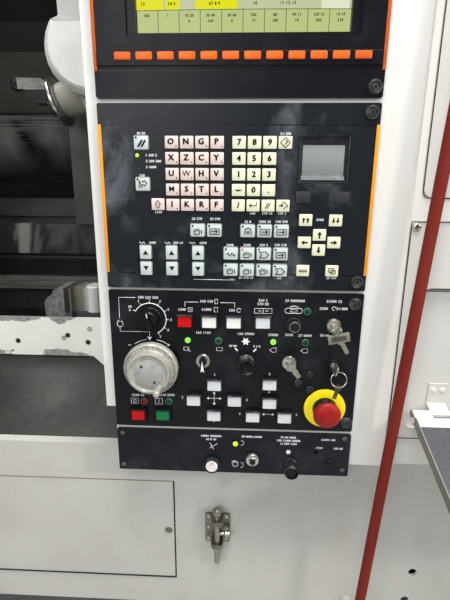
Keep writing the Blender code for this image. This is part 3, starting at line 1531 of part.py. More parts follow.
def make_keyboard_unit():
    unit = make_unit("keyboard_unit", KEYBOARD_BOTTOM, KEYBOARD_TOP)

    def text_keys(shape):
        for x, z in ((-0.1257, 1.4217), (-0.1257, 1.3692)):
            add_key(shape, x, z, 0.020, 0.018)
        for row in range(5):
            z = 1.4223 - KEY_PITCH * row
            for column in range(4):
                add_key(shape, -0.0856 + KEY_PITCH * column, z, 0.017, 0.015)
            for column in range(4 if row in (0, 4) else 3):
                add_key(shape, 0.003 + KEY_PITCH * column, z, 0.017, 0.015)
        add_key(shape, -0.1059, 1.3429, 0.017, 0.015)

    def function_keys(shape):
        pitch = 0.0229
        first = -0.0522
        rows = ((1.3085, (0, 1, 3, 4, 5)), (1.2772, (2, 3, 4, 5)), (1.2542, (2, 3, 4, 5)))
        for z, places in rows:
            for place in places:
                add_key(shape, first + pitch * place, z, 0.0205, 0.018)
        for x in (-0.1255, -0.0889, -0.0520):
            for z in (1.2773, 1.2546):
                add_key(shape, x, z, 0.017, 0.020)

    def cursor_keys(shape):
        spots = (
            (0.0944, 1.3236),
            (0.1345, 1.3235),
            (0.1141, 1.3040),
            (0.0942, 1.2935),
            (0.1342, 1.2938),
            (0.1141, 1.2833),
            (0.0942, 1.2544),
            (0.1342, 1.2545),
        )
        for x, z in spots:
            add_key(shape, x, z, 0.017, 0.015)
        for x in (0.0894, 0.1401):
            add_key(shape, x, 1.3535, 0.0188, 0.0147, 0.0015)

    def pad(shape):
        # A recess with sloping sides, widest at the top
        rings = []
        for share, depth in ((-1 / 3, -0.001), (1.0, PAD_SUNK)):
            left = console_x(0.0810 + 0.0053 * share)
            right = console_x(0.1450 - 0.0038 * share)
            bottom = 1.3740 + 0.0078 * share
            top = 1.4303 - 0.0103 * share
            outline = ((left, bottom), (right, bottom), (right, top), (left, top))
            rings.append([point(x, depth, z) for x, z in outline])
        close_prism(shape, *rings)

    join(unit, "text keys", text_keys)
    join(unit, "function keys", function_keys)
    join(unit, "cursor keys", cursor_keys)
    cut(unit, "pad", pad)


# Each push button: name, offset from the console's middle, height, finish
PANEL_BUTTONS = (
    ("spindle_stop_button", -0.0722, 1.1768, "signal_red"),
    ("spindle_start_button", -0.0364, 1.1763, "key_white"),
    ("spindle_reverse_button", -0.0009, 1.1763, "key_white"),
    ("door_unlock_button", 0.0411, 1.1770, "key_white"),
    ("feed_hold_button", -0.1469, 1.0240, "signal_red"),
    ("cycle_start_button", -0.1085, 1.0246, "signal_green"),
    ("jog_up_button", -0.0290, 1.0767, "key_white"),
    ("jog_left_button", -0.0605, 1.0510, "key_white"),
    ("jog_right_button", 0.0017, 1.0515, "key_white"),
    ("jog_down_button", -0.0296, 1.0260, "key_white"),
    ("traverse_up_button", 0.0540, 1.0800, "key_white"),
    ("traverse_centre_button", 0.0548, 1.0493, "key_white"),
    ("traverse_left_button", 0.0300, 1.0258, "key_white"),
    ("traverse_right_button", 0.0784, 1.0254, "key_white"),
)


def make_button(name, x, z, finish):
    """A square cap in its own well, free to go in by BUTTON_TRAVEL."""
    half_width = BUTTON_WIDTH / 2
    half_height = BUTTON_HEIGHT / 2

    def cap(shape):
        outline = rounded_outline(
            console_x(x - half_width), console_x(x + half_width), z - half_height, z + half_height, 0.0012, 1
        )
        add_slab(shape, outline, (-BUTTON_PROUD, BUTTON_DEEP))

    button = piece(name, finish, cap, point(console_x(x), -BUTTON_PROUD, z))
    soften(button, 0.0008, 1)


def add_shroud(shape, x, z):
    """A black hood round the upper part of a button."""
    gap = 0.0006
    inner = BUTTON_WIDTH / 2 + gap
    outer = inner + SHROUD_RIM
    top = BUTTON_HEIGHT / 2 + gap
    low = -BUTTON_HEIGHT / 2
    outline = [
        (-outer, low),
        (-outer, top + 0.001),
        (-outer + 0.002, top + 0.0035),
        (outer - 0.002, top + 0.0035),
        (outer, top + 0.001),
        (outer, low),
        (inner, low),
        (inner, top),
        (-inner, top),
        (-inner, low),
    ]
    add_slab(shape, [(console_x(x + a), z + b) for a, b in outline], (-SHROUD_PROUD, 0.001))


def add_button_well(shape, x, z):
    gap = 0.0005
    half_width = BUTTON_WIDTH / 2 + gap
    half_height = BUTTON_HEIGHT / 2 + gap
    xs = (console_x(x - half_width), console_x(x + half_width))
    add_box(shape, xs, (-0.001, BUTTON_DEEP + BUTTON_TRAVEL + 0.001), (z - half_height, z + half_height))


def add_collar(shape, x, z, radius, rise, sides=14):
    centre = point(console_x(x), 0.001, z)
    profile = [(0.0, radius), (rise, radius), (rise + 0.001, radius - 0.001)]
    add_turned(shape, profile, centre, (0, -1, 0), sides)


def add_stem_hole(shape, x, z, collar_rise, stem=KNOB_STEM):
    centre = point(console_x(x), -collar_rise - 0.003, z)
    radius = stem + 0.0004
    depth = collar_rise + 0.003 + KNOB_STEM_DEEP + 0.002
    add_turned(shape, [(0.0, radius), (depth, radius)], centre, (0, 1, 0), 8)


# Rotary parts of the operation panel: offset, height, collar radius, collar rise
ROTARY_SEATS = (
    (-0.1235, 1.1800, 0.0165, 0.001),
    (0.0855, 1.1752, 0.0105, 0.002),
    (0.1418, 1.1756, 0.0110, 0.004),
    (-0.0458, 1.1160, 0.0115, 0.002),
    (0.0180, 1.1147, 0.0125, 0.003),
    (0.0812, 1.1163, 0.0110, 0.002),
    (0.1457, 1.1149, 0.0085, 0.004),
    (-0.1215, 1.1075, 0.0150, 0.006),
)
LAMP_SPOTS = (
    (0.1039, 1.1954),
    (-0.0682, 1.1482),
    (-0.0229, 1.1481),
    (0.0570, 1.1482),
    (0.1037, 1.1484),
    (-0.1372, 1.0473),
    (-0.0989, 1.0481),
)
PLUG_SPOTS = ((0.1136, 1.0979), (0.0959, 1.0843), (0.1144, 1.0739))
STOP_X = 0.1383
STOP_Z = 1.0433


def make_operation_panel():
    unit = make_unit("operation_panel", PANEL_BOTTOM, PANEL_TOP)

    def fittings(shape):
        for name, x, z, finish in PANEL_BUTTONS:
            add_shroud(shape, x, z)
        for x, z, radius, rise in ROTARY_SEATS:
            add_collar(shape, x, z, radius, rise)
        for x, z in LAMP_SPOTS:
            add_collar(shape, x, z, 0.0055, 0.002, 8)
        for x, z in PLUG_SPOTS:
            add_collar(shape, x, z, 0.0060, 0.002, 8)
        add_collar(shape, STOP_X, STOP_Z, STOP_RING_RADIUS, 0.002, 24)

    def stop_collar(shape):
        centre = point(console_x(STOP_X), 0.0005, STOP_Z)
        wall = STOP_COLLAR_RADIUS
        profile = [(0.0, wall + 0.003), (0.010, wall + 0.002), (0.012, wall)]
        add_turned(shape, profile, centre, (0, -1, 0), 18)

    def wells(shape):
        for name, x, z, finish in PANEL_BUTTONS:
            add_button_well(shape, x, z)
        for x, z, radius, rise in ROTARY_SEATS:
            add_stem_hole(shape, x, z, rise)
        centre = point(console_x(STOP_X), -0.02, STOP_Z)
        radius = 0.0094
        add_turned(shape, [(0.0, radius), (0.042, radius)], centre, (0, 1, 0), 14)

    join(unit, "fittings", fittings)
    join(unit, "stop collar", stop_collar)
    cut(unit, "wells", wells)
    for name, x, z, finish in PANEL_BUTTONS:
        make_button(name, x, z, finish)


def make_knob(name, finish, seat, body_profile, sides=16, pointer=None):
    """A turned knob on a stem in its seat. body_profile starts at the seat's face."""
    x, z, radius, rise = seat
    base = rise + RUN_GAP
    centre = point(console_x(x), -base, z)

    def stem_and_body(shape):
        profile = [(-KNOB_STEM_DEEP - base, KNOB_STEM), (0.0, KNOB_STEM)] + body_profile
        add_turned(shape, profile, centre, (0, -1, 0), sides)

    knob = piece(name, finish, stem_and_body, centre)
    if pointer:
        join(knob, "pointer", lambda s: pointer(s, console_x(x), base, z))
    return knob


def bar_pointer(length, width, turn, bottom, top):
    """A raised bar across a knob, turned from upright by an angle in degrees."""

    def build(shape, x, base, z):
        angle = math.radians(turn)
        along = Vector((math.sin(angle), math.cos(angle)))
        across = Vector((along.y, -along.x))
        corners = ((-0.45, -0.5), (-0.45, 0.5), (0.42, 0.5), (0.55, 0.0), (0.42, -0.5))
        outline = []
        for a, b in corners:
            spot = along * (a * length) + across * (b * width)
            outline.append((x + spot.x, z + spot.y))
        add_slab(shape, outline, (-base - top, -base - bottom))

    return build


def key_shape(bow_width, bow_height, turn):
    """The flat bow of a key standing out of its lock."""

    def build(shape, x, base, z):
        outline = rounded_outline(-bow_width / 2, bow_width / 2, 0.0, bow_height, bow_width * 0.3, 3)
        angle = math.radians(turn)
        thick = 0.0011
        near, far = [], []
        for a, b in outline:
            depth = -base - 0.004 - b
            for side, ring in ((-thick, near), (thick, far)):
                dx = a * math.sin(angle) + side * math.cos(angle)
                dz = a * math.cos(angle) - side * math.sin(angle)
                ring.append((x + dx, world_y(depth), z + dz))
        close_prism(shape, near, far)

    return build


def make_panel_knobs():
    axis_seat, conveyor_seat, program_seat, head_seat = ROTARY_SEATS[:4]
    tool_seat, clamp_seat, setup_seat, wheel_seat = ROTARY_SEATS[4:]
    round_knob = [(0.0, 0.0140), (0.010, 0.0128), (0.0115, 0.0115)]
    grip = bar_pointer(0.030, 0.006, -20, 0.002, 0.0165)
    make_knob("axis_select_knob", "black_plastic", axis_seat, round_knob, 18, grip)
    toggle = [(0.0, 0.0062), (0.004, 0.0055), (0.005, 0.0045)]
    lever = bar_pointer(0.012, 0.0040, 0, 0.002, 0.012)
    make_knob("chip_conveyor_switch", "black_plastic", conveyor_seat, toggle, 12, lever)
    lever = bar_pointer(0.019, 0.0055, 180, 0.002, 0.013)
    make_knob("head_select_knob", "black_plastic", head_seat, toggle, 12, lever)
    collared = [(0.0, 0.0095), (0.006, 0.0095), (0.0065, 0.0080), (0.014, 0.0072), (0.015, 0.0062)]
    ridge = bar_pointer(0.015, 0.0035, 40, 0.010, 0.0165)
    make_knob("tool_select_knob", "black_plastic", tool_seat, collared, 14, ridge)
    plug = [(0.0, 0.0050), (0.003, 0.0050), (0.006, 0.0030)]
    make_knob("program_key", "bright_steel", program_seat, plug, 8, key_shape(0.015, 0.026, 35))
    make_knob("tool_clamp_key", "bright_steel", clamp_seat, plug, 8, key_shape(0.013, 0.020, 70))
    make_knob("setup_key", "bright_steel", setup_seat, plug, 8, key_shape(0.014, 0.022, 15))
    make_handwheel(wheel_seat)


def make_handwheel(seat):
    """A dial flange with a narrower drum on it, and a crank knob that turns on its own pin."""
    x, z, radius, rise = seat
    base = rise + RUN_GAP
    centre = point(console_x(x), -base, z)
    front = WHEEL_FRONT
    profile = [
        (-KNOB_STEM_DEEP - base, KNOB_STEM),
        (0.0, KNOB_STEM),
        (0.0, 0.0130),
        (0.002, 0.0145),
        (0.002, WHEEL_RADIUS - 0.0025),
        (0.004, WHEEL_RADIUS),
        (DIAL_FACE - 0.004, WHEEL_RADIUS),
        (DIAL_FACE - 0.0015, WHEEL_RADIUS - 0.002),
        (DIAL_FACE, DRUM_RADIUS + 0.0005),
        (DIAL_FACE + 0.001, DRUM_RADIUS - 0.0002),
        (front - 0.0015, DRUM_RADIUS),
        (front, DRUM_RADIUS - 0.001),
        (front, DRUM_RADIUS - 0.0025),
        (front - 0.0018, DRUM_RADIUS - 0.004),
        (front - 0.0025, 0.0215),
        (front - 0.0018, 0.0210),
    ]

    def turned_wheel(shape):
        add_turned(shape, profile, centre, (0, -1, 0), 28)

    wheel = piece("handwheel", "worn_aluminium", turned_wheel, centre)
    angle = WHEEL_CRANK_ANGLE
    crank_x = console_x(x) + WHEEL_CRANK_OFFSET * math.cos(angle)
    crank_z = z + WHEEL_CRANK_OFFSET * math.sin(angle)
    seat_depth = -base - front

    def pin_hole(shape):
        profile = [(0.0, 0.0024), (0.022, 0.0024)]
        add_turned(shape, profile, point(crank_x, seat_depth - 0.01, crank_z), (0, 1, 0), 12)

    cut(wheel, "crank pin hole", pin_hole)
    crank = [
        (-0.011, 0.0020),
        (0.0, 0.0020),
        (0.0, 0.0046),
        (0.004, 0.0036),
        (0.014, 0.0042),
        (0.019, 0.0050),
        (0.0225, 0.0046),
        (0.0240, 0.0020),
    ]
    crank_centre = point(crank_x, seat_depth - SEAT_GAP, crank_z)

    def turned_crank(shape):
        add_turned(shape, crank, crank_centre, (0, -1, 0), 12)

    piece("handwheel_crank", "worn_aluminium", turned_crank, crank_centre)


def make_stop_button():
    """A mushroom cap that goes in against its collar."""
    reach = 0.0125 + STOP_TRAVEL + 0.0005
    centre = point(console_x(STOP_X), -reach, STOP_Z)
    cap = STOP_CAP_RADIUS
    profile = [
        (-reach - 0.010, 0.0090),
        (0.0, 0.0090),
        (0.0, cap - 0.004),
        (0.003, cap),
        (0.006, cap),
        (0.010, cap * 0.90),
        (0.0125, cap * 0.68),
        (0.0138, cap * 0.36),
        (0.0142, 0.0),
    ]
    piece("estop_button", "signal_red", lambda s: add_turned(s, profile, centre, (0, -1, 0), 20), centre)


AUXILIARY_BUTTON = (-0.0326, 0.9400)
AUXILIARY_SEATS = ((0.0312, 0.9523, 0.0095, 0.003), (0.0910, 0.9430, 0.0125, 0.004))


def make_auxiliary_panel():
    unit = make_unit("auxiliary_panel", AUXILIARY_BOTTOM, AUXILIARY_TOP, PILLAR_BOTTOM + 0.012)
    button_x, button_z = AUXILIARY_BUTTON

    def fittings(shape):
        add_collar(shape, button_x, button_z, 0.0125, 0.003, 18)
        for x, z, radius, rise in AUXILIARY_SEATS:
            add_collar(shape, x, z, radius, rise)
        add_collar(shape, 0.0042, 0.9780, 0.0050, 0.002, 8)
        add_collar(shape, 0.0044, 0.9419, 0.0050, 0.0015, 8)
        add_collar(shape, 0.1527, 0.9483, 0.0062, 0.003, 8)

    def lower_return(shape):
        half = UNIT_HALF - CHASSIS_INSET
        heights = (AUXILIARY_BOTTOM + 0.0002, PILLAR_BOTTOM + 0.014)
        add_box(shape, (console_x(-half), console_x(half)), (PLATE_THICK / 2, 0.040), heights)

    def holes(shape):
        bore = point(console_x(button_x), -0.006, button_z)
        add_turned(shape, [(0.0, 0.0093), (0.022, 0.0093)], bore, (0, 1, 0), 14)
        for x, z, radius, rise in AUXILIARY_SEATS:
            add_stem_hole(shape, x, z, rise)
        lamp_hole = point(console_x(0.1307), -0.004, 0.9657)
        add_turned(shape, [(0.0, 0.003), (0.012, 0.003)], lamp_hole, (0, 1, 0), 10)

    join(unit, "lower return", lower_return)
    join(unit, "fittings", fittings)
    cut(unit, "holes", holes)
    top = 0.0085
    centre = point(console_x(button_x), -top, button_z)
    cap = [(-top - 0.010, 0.0088), (-0.001, 0.0088), (0.0, 0.0078)]

    def turned_cap(shape):
        add_turned(shape, cap, centre, (0, -1, 0), 16)

    piece("single_operate_button", "key_white", turned_cap, centre)
    key_seat, knob_seat = AUXILIARY_SEATS
    barrel = [(0.0, 0.0060), (0.004, 0.0060), (0.005, 0.0050)]
    ward = bar_pointer(0.010, 0.0020, 90, 0.004, 0.008)
    make_knob("turret_select_key", "bright_steel", key_seat, barrel, 12, ward)
    knurled = [(0.0, 0.0100), (0.006, 0.0100), (0.0065, 0.0085), (0.016, 0.0078), (0.017, 0.0068)]
    ridge = bar_pointer(0.016, 0.0035, 0, 0.012, 0.0185)
    make_knob("flash_tool_knob", "black_plastic", knob_seat, knurled, 14, ridge)


def build_machine():
    clear_scene()
    make_bed()
    make_coolant_tank()
    make_headstock()
    make_chuck()
    make_way_cover()
    make_carriage()
    make_ram()
    make_milling_head()
    make_milling_spindle()
    make_apron()
    make_lower_turret_cover()
    make_lower_turret()
    make_enclosure()
    make_left_cover()
    make_lower_cover()
    make_access_door()
    make_pillar()
    make_upper_right_cover()
    make_right_cover()
    make_shelf()
    make_sliding_door()
    make_latch()
    make_air_hose()
    make_display_unit()
    make_keyboard_unit()
    make_operation_panel()
    make_panel_knobs()
    make_stop_button()
    make_auxiliary_panel()


build_machine()
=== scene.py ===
# Looks of a CNC turning lathe: paint, panels, keys, screen, metals, hose, light and camera.
# Metres. X runs right along the machine, Y away from the operator, Z up.

import math

import bpy
from mathutils import Matrix, Vector


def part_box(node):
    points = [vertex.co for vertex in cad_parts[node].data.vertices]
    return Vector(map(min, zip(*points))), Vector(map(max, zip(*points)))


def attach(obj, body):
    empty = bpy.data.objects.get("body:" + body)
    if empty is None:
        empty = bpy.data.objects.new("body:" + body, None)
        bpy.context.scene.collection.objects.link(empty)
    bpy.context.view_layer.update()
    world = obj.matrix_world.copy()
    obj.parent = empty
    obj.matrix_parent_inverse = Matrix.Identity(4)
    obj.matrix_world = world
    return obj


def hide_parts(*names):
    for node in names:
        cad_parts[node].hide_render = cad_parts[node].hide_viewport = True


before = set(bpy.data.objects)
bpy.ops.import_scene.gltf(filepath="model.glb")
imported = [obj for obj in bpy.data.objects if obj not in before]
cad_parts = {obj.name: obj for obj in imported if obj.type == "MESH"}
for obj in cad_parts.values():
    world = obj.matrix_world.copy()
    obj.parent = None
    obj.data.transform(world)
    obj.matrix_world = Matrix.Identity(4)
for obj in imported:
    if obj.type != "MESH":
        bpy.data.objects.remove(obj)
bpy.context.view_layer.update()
print("frame loaded")

keyRise = 0.0025  # how far the keyboard's keys stand out of its face
unitLow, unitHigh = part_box("keyboard_unit")
consoleX = (unitLow.x + unitHigh.x) / 2
faceY = unitLow.y + keyRise


def at(x, depth, z):
    # x from the console's middle, depth into the machine from the console's face, z from the floor
    return Vector((consoleX + x, faceY + depth, z))


# Tools for modelling


def deselect():
    if bpy.context.object and bpy.context.object.mode != "OBJECT":
        bpy.ops.object.mode_set(mode="OBJECT")
    bpy.ops.object.select_all(action="DESELECT")


def choose(piece):
    deselect()
    piece.select_set(True)
    bpy.context.view_layer.objects.active = piece


def settle(piece):
    choose(piece)
    bpy.ops.object.transform_apply(location=True, rotation=True, scale=True)


def applyModifier(piece, kind, **settings):
    choose(piece)
    bpy.ops.object.modifier_add(type=kind)
    modifier = piece.modifiers[-1]
    for name, value in settings.items():
        setattr(modifier, name, value)
    bpy.ops.object.modifier_apply(modifier=modifier.name)


toOperator = (0, -1, 0)


def dress(piece, name, finish, body="machine", standsFor=(), smooth=40):
    piece.name = name
    settle(piece)
    if smooth:
        bpy.ops.object.shade_smooth_by_angle(angle=math.radians(smooth))
    piece.data.materials.clear()
    piece.data.materials.append(finishes[finish])
    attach(piece, body)
    if standsFor:
        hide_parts(*standsFor)


def block(low, high, edge=0.0006, segments=2):
    # a bevelled block between two corners
    deselect()
    low, high = Vector(low), Vector(high)
    bpy.ops.mesh.primitive_cube_add(size=1, location=(low + high) / 2)
    piece = bpy.context.object
    piece.scale = high - low
    settle(piece)
    if edge:
        applyModifier(piece, "BEVEL", width=edge, segments=segments, limit_method="ANGLE")
    return piece


def turned(steps, centre, direction, sides=48):
    # a solid of revolution: pairs of (distance along the axis, radius), drawn up +Z and then laid over
    deselect()
    height, radius = steps[0]
    spot = (0, 0, height)
    bpy.ops.mesh.primitive_circle_add(vertices=sides, radius=radius, fill_type="NGON", location=spot)
    piece = bpy.context.object
    settle(piece)
    bpy.ops.object.mode_set(mode="EDIT")
    bpy.ops.mesh.select_all(action="SELECT")
    for along, nextRadius in steps[1:]:
        bpy.ops.mesh.extrude_region_move(TRANSFORM_OT_translate={"value": (0, 0, along - height)})
        factor = nextRadius / radius
        bpy.ops.transform.resize(value=(factor, factor, 1), center_override=(0, 0, 0))
        height, radius = along, nextRadius
    bpy.ops.mesh.select_all(action="SELECT")
    bpy.ops.mesh.normals_make_consistent(inside=False)
    bpy.ops.object.mode_set(mode="OBJECT")
    turn = Vector(direction).normalized().to_track_quat("Z", "Y").to_matrix().to_4x4()
    piece.matrix_world = Matrix.Translation(centre) @ turn
    settle(piece)
    return piece


def joined(parts):
    deselect()
    for part in parts:
        part.select_set(True)
    bpy.context.view_layer.objects.active = parts[0]
    if len(parts) > 1:
        bpy.ops.object.join()
    return bpy.context.object


def repeated(pattern, places):
    # pattern is modelled round the origin; every copy has its own mesh, and all become one piece
    parts = []
    for place in places:
        part = pattern.copy()
        part.data = pattern.data.copy()
        bpy.context.scene.collection.objects.link(part)
        part.location = place
        parts.append(part)
    bpy.data.objects.remove(pattern, do_unlink=True)
    made = joined(parts)
    settle(made)
    return made


def lettering(entries, depth, weight=0.0):
    # entries: (text, x, z, height); flat letters facing the operator, struck twice to be bolder
    parts = []
    for text, x, z, height in entries:
        for shift in (-weight, weight) if weight else (0,):
            deselect()
            spot = at(x + shift, depth, z + shift / 2)
            bpy.ops.object.text_add(location=spot, rotation=(math.radians(90), 0, 0))
            letter = bpy.context.object
            letter.data.body = text
            letter.data.size = height * 1.45
            letter.data.offset = weight * 0.55
            letter.data.align_x = "CENTER"
            letter.data.align_y = "CENTER"
            letter.data.space_character = 1.12
            letter.data.resolution_u = 2
            letter.data.extrude = 0.00012
            bpy.ops.object.convert(target="MESH")
            parts.append(bpy.context.object)
    return joined(parts)


def filledShapes(outlines, depth):
    # flat closed outlines in (x, z), a tenth of a millimetre thick
    route = bpy.data.curves.new("shape", "CURVE")
    route.dimensions = "2D"
    route.fill_mode = "BOTH"
    route.extrude = 0.0001
    for outline in outlines:
        spline = route.splines.new("POLY")
        spline.points.add(len(outline) - 1)
        for spot, (x, z) in zip(spline.points, outline):
            spot.co = (x, z, 0, 1)
        spline.use_cyclic_u = True
    shape = bpy.data.objects.new("shape", route)
    bpy.context.scene.collection.objects.link(shape)
    shape.location = at(0, depth, 0)
    shape.rotation_euler = (math.radians(90), 0, 0)
    choose(shape)
    bpy.ops.object.convert(target="MESH")
    return bpy.context.object


def turnedSpots(x, z, size, angle, spots):
    # spots in a square of the given size round (x, z), turned by an angle in degrees
    cosine, sine = math.cos(math.radians(angle)), math.sin(math.radians(angle))
    return [(x + (a * cosine - b * sine) * size, z + (a * sine + b * cosine) * size) for a, b in spots]


def blockArrow(x, z, size, angle):
    half = [(-0.5, 0.13), (0.02, 0.13), (0.02, 0.36)]
    spots = [(a, -b) for a, b in half] + [(0.5, 0.0)] + half[::-1]
    return turnedSpots(x, z, size, angle, spots)


def triangle(x, z, size, angle):
    return turnedSpots(x, z, size, angle, [(-0.35, -0.5), (0.45, 0.0), (-0.35, 0.5)])


def hollowBox(x, z, width, height):
    a, b = width / 2, height / 2
    return [(x - a, z - b), (x + a, z - b), (x + a, z + b), (x - a, z + b), (x - a, z - b)]


def drawnLines(lines, depth, width):
    # lines: lists of (x, z) points on the face, drawn as thin raised strokes
    route = bpy.data.curves.new("stroke", "CURVE")
    route.dimensions = "3D"
    route.bevel_depth = width / 2
    route.bevel_resolution = 0
    route.use_fill_caps = True
    for line in lines:
        spline = route.splines.new("POLY")
        spline.points.add(len(line) - 1)
        for spot, (x, z) in zip(spline.points, line):
            spot.co = (*at(x, depth, z), 1)
    stroke = bpy.data.objects.new("stroke", route)
    bpy.context.scene.collection.objects.link(stroke)
    choose(stroke)
    bpy.ops.object.convert(target="MESH")
    return bpy.context.object


def arc(x, z, radius, start, end, count=12):
    points = []
    for i in range(count + 1):
        angle = math.radians(start + (end - start) * i / count)
        points.append((x + radius * math.cos(angle), z + radius * math.sin(angle)))
    return points


def onCircle(x, z, radius, angle):
    return arc(x, z, radius, angle, angle, 1)[0]


def studs(name, form, places, finish, sides=24, body="machine"):
    # the same turned form facing the operator at each place, as one piece
    dress(repeated(turned(form, (0, 0, 0), toOperator, sides), places), name, finish, body)


def knob(name, form, centre, finish, sides, body="machine", standsFor=(), smooth=40):
    # one turned form facing the operator
    dress(turned(form, centre, toOperator, sides), name, finish, body, standsFor, smooth)


def strokes(name, lines, depth, width, finish, body="machine"):
    dress(drawnLines(lines, depth, width), name, finish, body, smooth=0)


def printShape(name, outlines, depth, finish, body="machine"):
    dress(filledShapes(outlines, depth), name, finish, body, smooth=0)


def printText(name, entries, depth, weight, finish):
    dress(lettering(entries, depth, weight), name, finish, smooth=0)


def faceMiddle(name, depth=None):
    # middle of a node, at its front or at a depth behind the console's face
    low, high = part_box(name)
    y = low.y if depth is None else faceY + depth
    return Vector(((low.x + high.x) / 2, y, (low.z + high.z) / 2))


# Tools for materials


class Wire:  # an output of a node, with arithmetic
    def __init__(self, finish, socket):
        self.finish = finish
        self.socket = socket

    def combine(self, operation, first, second):
        return self.finish.node("ShaderNodeMath", {"operation": operation}, {0: first, 1: second})

    def __add__(self, other):
        return self.combine("ADD", self, other)

    def __sub__(self, other):
        return self.combine("SUBTRACT", self, other)

    def __rsub__(self, other):
        return self.combine("SUBTRACT", other, self)

    def __mul__(self, other):
        return self.combine("MULTIPLY", self, other)

    def __gt__(self, other):
        return self.combine("GREATER_THAN", self, other)

    def __lt__(self, other):
        return self.combine("LESS_THAN", self, other)

    def __mod__(self, other):
        return self.combine("FLOORED_MODULO", self, other)

    def __or__(self, other):
        return self.combine("MAXIMUM", self, other)


class Finish:  # one material and the nodes in it
    def __init__(self, name):
        self.material = bpy.data.materials.new(name)
        self.material.use_nodes = True
        self.tree = self.material.node_tree
        self.tree.nodes.clear()
        self.place = self.node("ShaderNodeTexCoord", output="Object")

    def node(self, kind, settings=None, inputs=None, output=0):
        made = self.tree.nodes.new(kind)
        for name, value in (settings or {}).items():
            setattr(made, name, value)
        for name, value in (inputs or {}).items():
            if isinstance(value, Wire):
                self.tree.links.new(value.socket, made.inputs[name])
            else:
                made.inputs[name].default_value = value
        return Wire(self, made.outputs[output])

    def noise(self, scale, detail=4.0, stretch=(1, 1, 1), roughness=0.55, distortion=0.0):
        spot = self.node("ShaderNodeMapping", None, {"Vector": self.place, "Scale": stretch})
        values = {"Vector": spot, "Scale": scale, "Detail": detail, "Roughness": roughness}
        return self.node("ShaderNodeTexNoise", None, {**values, "Distortion": distortion})

    def cloud(self, scale, low, high, detail=4.0, **shape):
        # noise cut to a range: 0 where it is under low, 1 where it is over high
        return self.ranged(self.noise(scale, detail, **shape), low, high)

    def ranged(self, value, low, high, newLow=0.0, newHigh=1.0):
        values = {"Value": value, "From Min": low, "From Max": high, "To Min": newLow, "To Max": newHigh}
        return self.node("ShaderNodeMapRange", {"clamp": True}, values)

    def spread(self, value, low, high):
        return self.ranged(value, 0.0, 1.0, low, high)

    def mixed(self, factor, first, second):
        settings = {"data_type": "RGBA"}
        first = first if isinstance(first, Wire) else (*first, 1)
        second = second if isinstance(second, Wire) else (*second, 1)
        return self.node("ShaderNodeMix", settings, {0: factor, 6: first, 7: second}, output=2)

    def bump(self, height, strength, distance=0.001):
        values = {"Height": height, "Strength": strength, "Distance": distance}
        return self.node("ShaderNodeBump", None, values)

    def axis(self, letter):
        return self.node("ShaderNodeSeparateXYZ", None, {0: self.place}, letter)

    def close(self, colour, roughness, metallic=0.0, normal=None, specular=0.5, glow=None, power=0.0):
        colour = colour if isinstance(colour, Wire) else (*colour, 1)
        values = {"Base Color": colour, "Roughness": roughness, "Metallic": metallic}
        values["Specular IOR Level"] = specular
        if normal:
            values["Normal"] = normal
        if glow:
            values["Emission Color"] = glow
            values["Emission Strength"] = power
        shader = self.node("ShaderNodeBsdfPrincipled", None, values, output="BSDF")
        self.end(shader)
        return self.material

    def end(self, shader):
        output = self.tree.nodes.new("ShaderNodeOutputMaterial")
        self.tree.links.new(shader.socket, output.inputs["Surface"])


def shaded(colour, share):
    return tuple(c * share for c in colour)


def paint(name, colour, grime, smudge=0.5, streaks=0.3, gloss=0.38):
    # sprayed sheet metal: faint orange peel, hand marks, streaks that run down
    look = Finish(name)
    broad = look.cloud(1.6, 0.40, 0.75, 5.0)
    patches = look.cloud(7.0, 0.50, 0.74, 6.0, roughness=0.65)
    runs = look.cloud(9.0, 0.54, 0.80, stretch=(1, 1, 0.10))
    specks = look.cloud(200.0, 0.735, 0.78, 2.0)
    dirt = broad * 0.25 + patches * smudge * 0.5 + runs * streaks * 0.6
    tone = look.mixed(dirt, colour, grime)
    dotted = look.mixed(specks * 0.35, tone, shaded(grime, 0.45))
    peel = look.noise(420.0, 2.0)
    rough = look.ranged(look.noise(14.0, 4.0), 0.3, 0.7, gloss - 0.06, gloss + 0.12)
    return look.close(dotted, rough, normal=look.bump(peel, 0.10, 0.0004))


# where painted shade starts on the swivel's arm and rim, and how far it darkens them
ramShades = {"armFrom": 1.800, "armTone": 0.68, "rimFrom": 0.5835, "rimTone": 0.52}


def ramPaint(name, colour, grime):
    # white swivel cover, with painted shade on the arm above it and on its rim, yellowish and mottled with
    # dirt
    look = Finish(name)
    y, z = look.axis("Y"), look.axis("Z")
    shades = ramShades
    rim = faceY + shades["rimFrom"]
    cloud = look.cloud(9.0, 0.50, 0.80, 6.0, roughness=0.65)
    chips = look.noise(120.0, 4.0) > 0.735
    # painted shade: the arm above the cover and the cover's side rim, mixed with dirty mottling
    shadedArmAndRim = look.ranged(z, shades["armFrom"] - 0.004, shades["armFrom"]) | look.ranged(y, rim, rim + 0.003)
    yellowedShade = shaded(colour, shades["armTone"])
    dirtyShade = shaded(grime, shades["rimTone"])
    tone = look.mixed(cloud * 0.25, colour, grime)
    tone = look.mixed(shadedArmAndRim, tone, look.mixed(cloud * 0.6, yellowedShade, dirtyShade))
    tone = look.mixed(chips * 0.6, tone, (0.10, 0.085, 0.06))
    peel = look.bump(look.noise(220.0, 2.0), 0.08, 0.0005)
    return look.close(tone, look.spread(cloud, 0.32, 0.5), normal=peel)


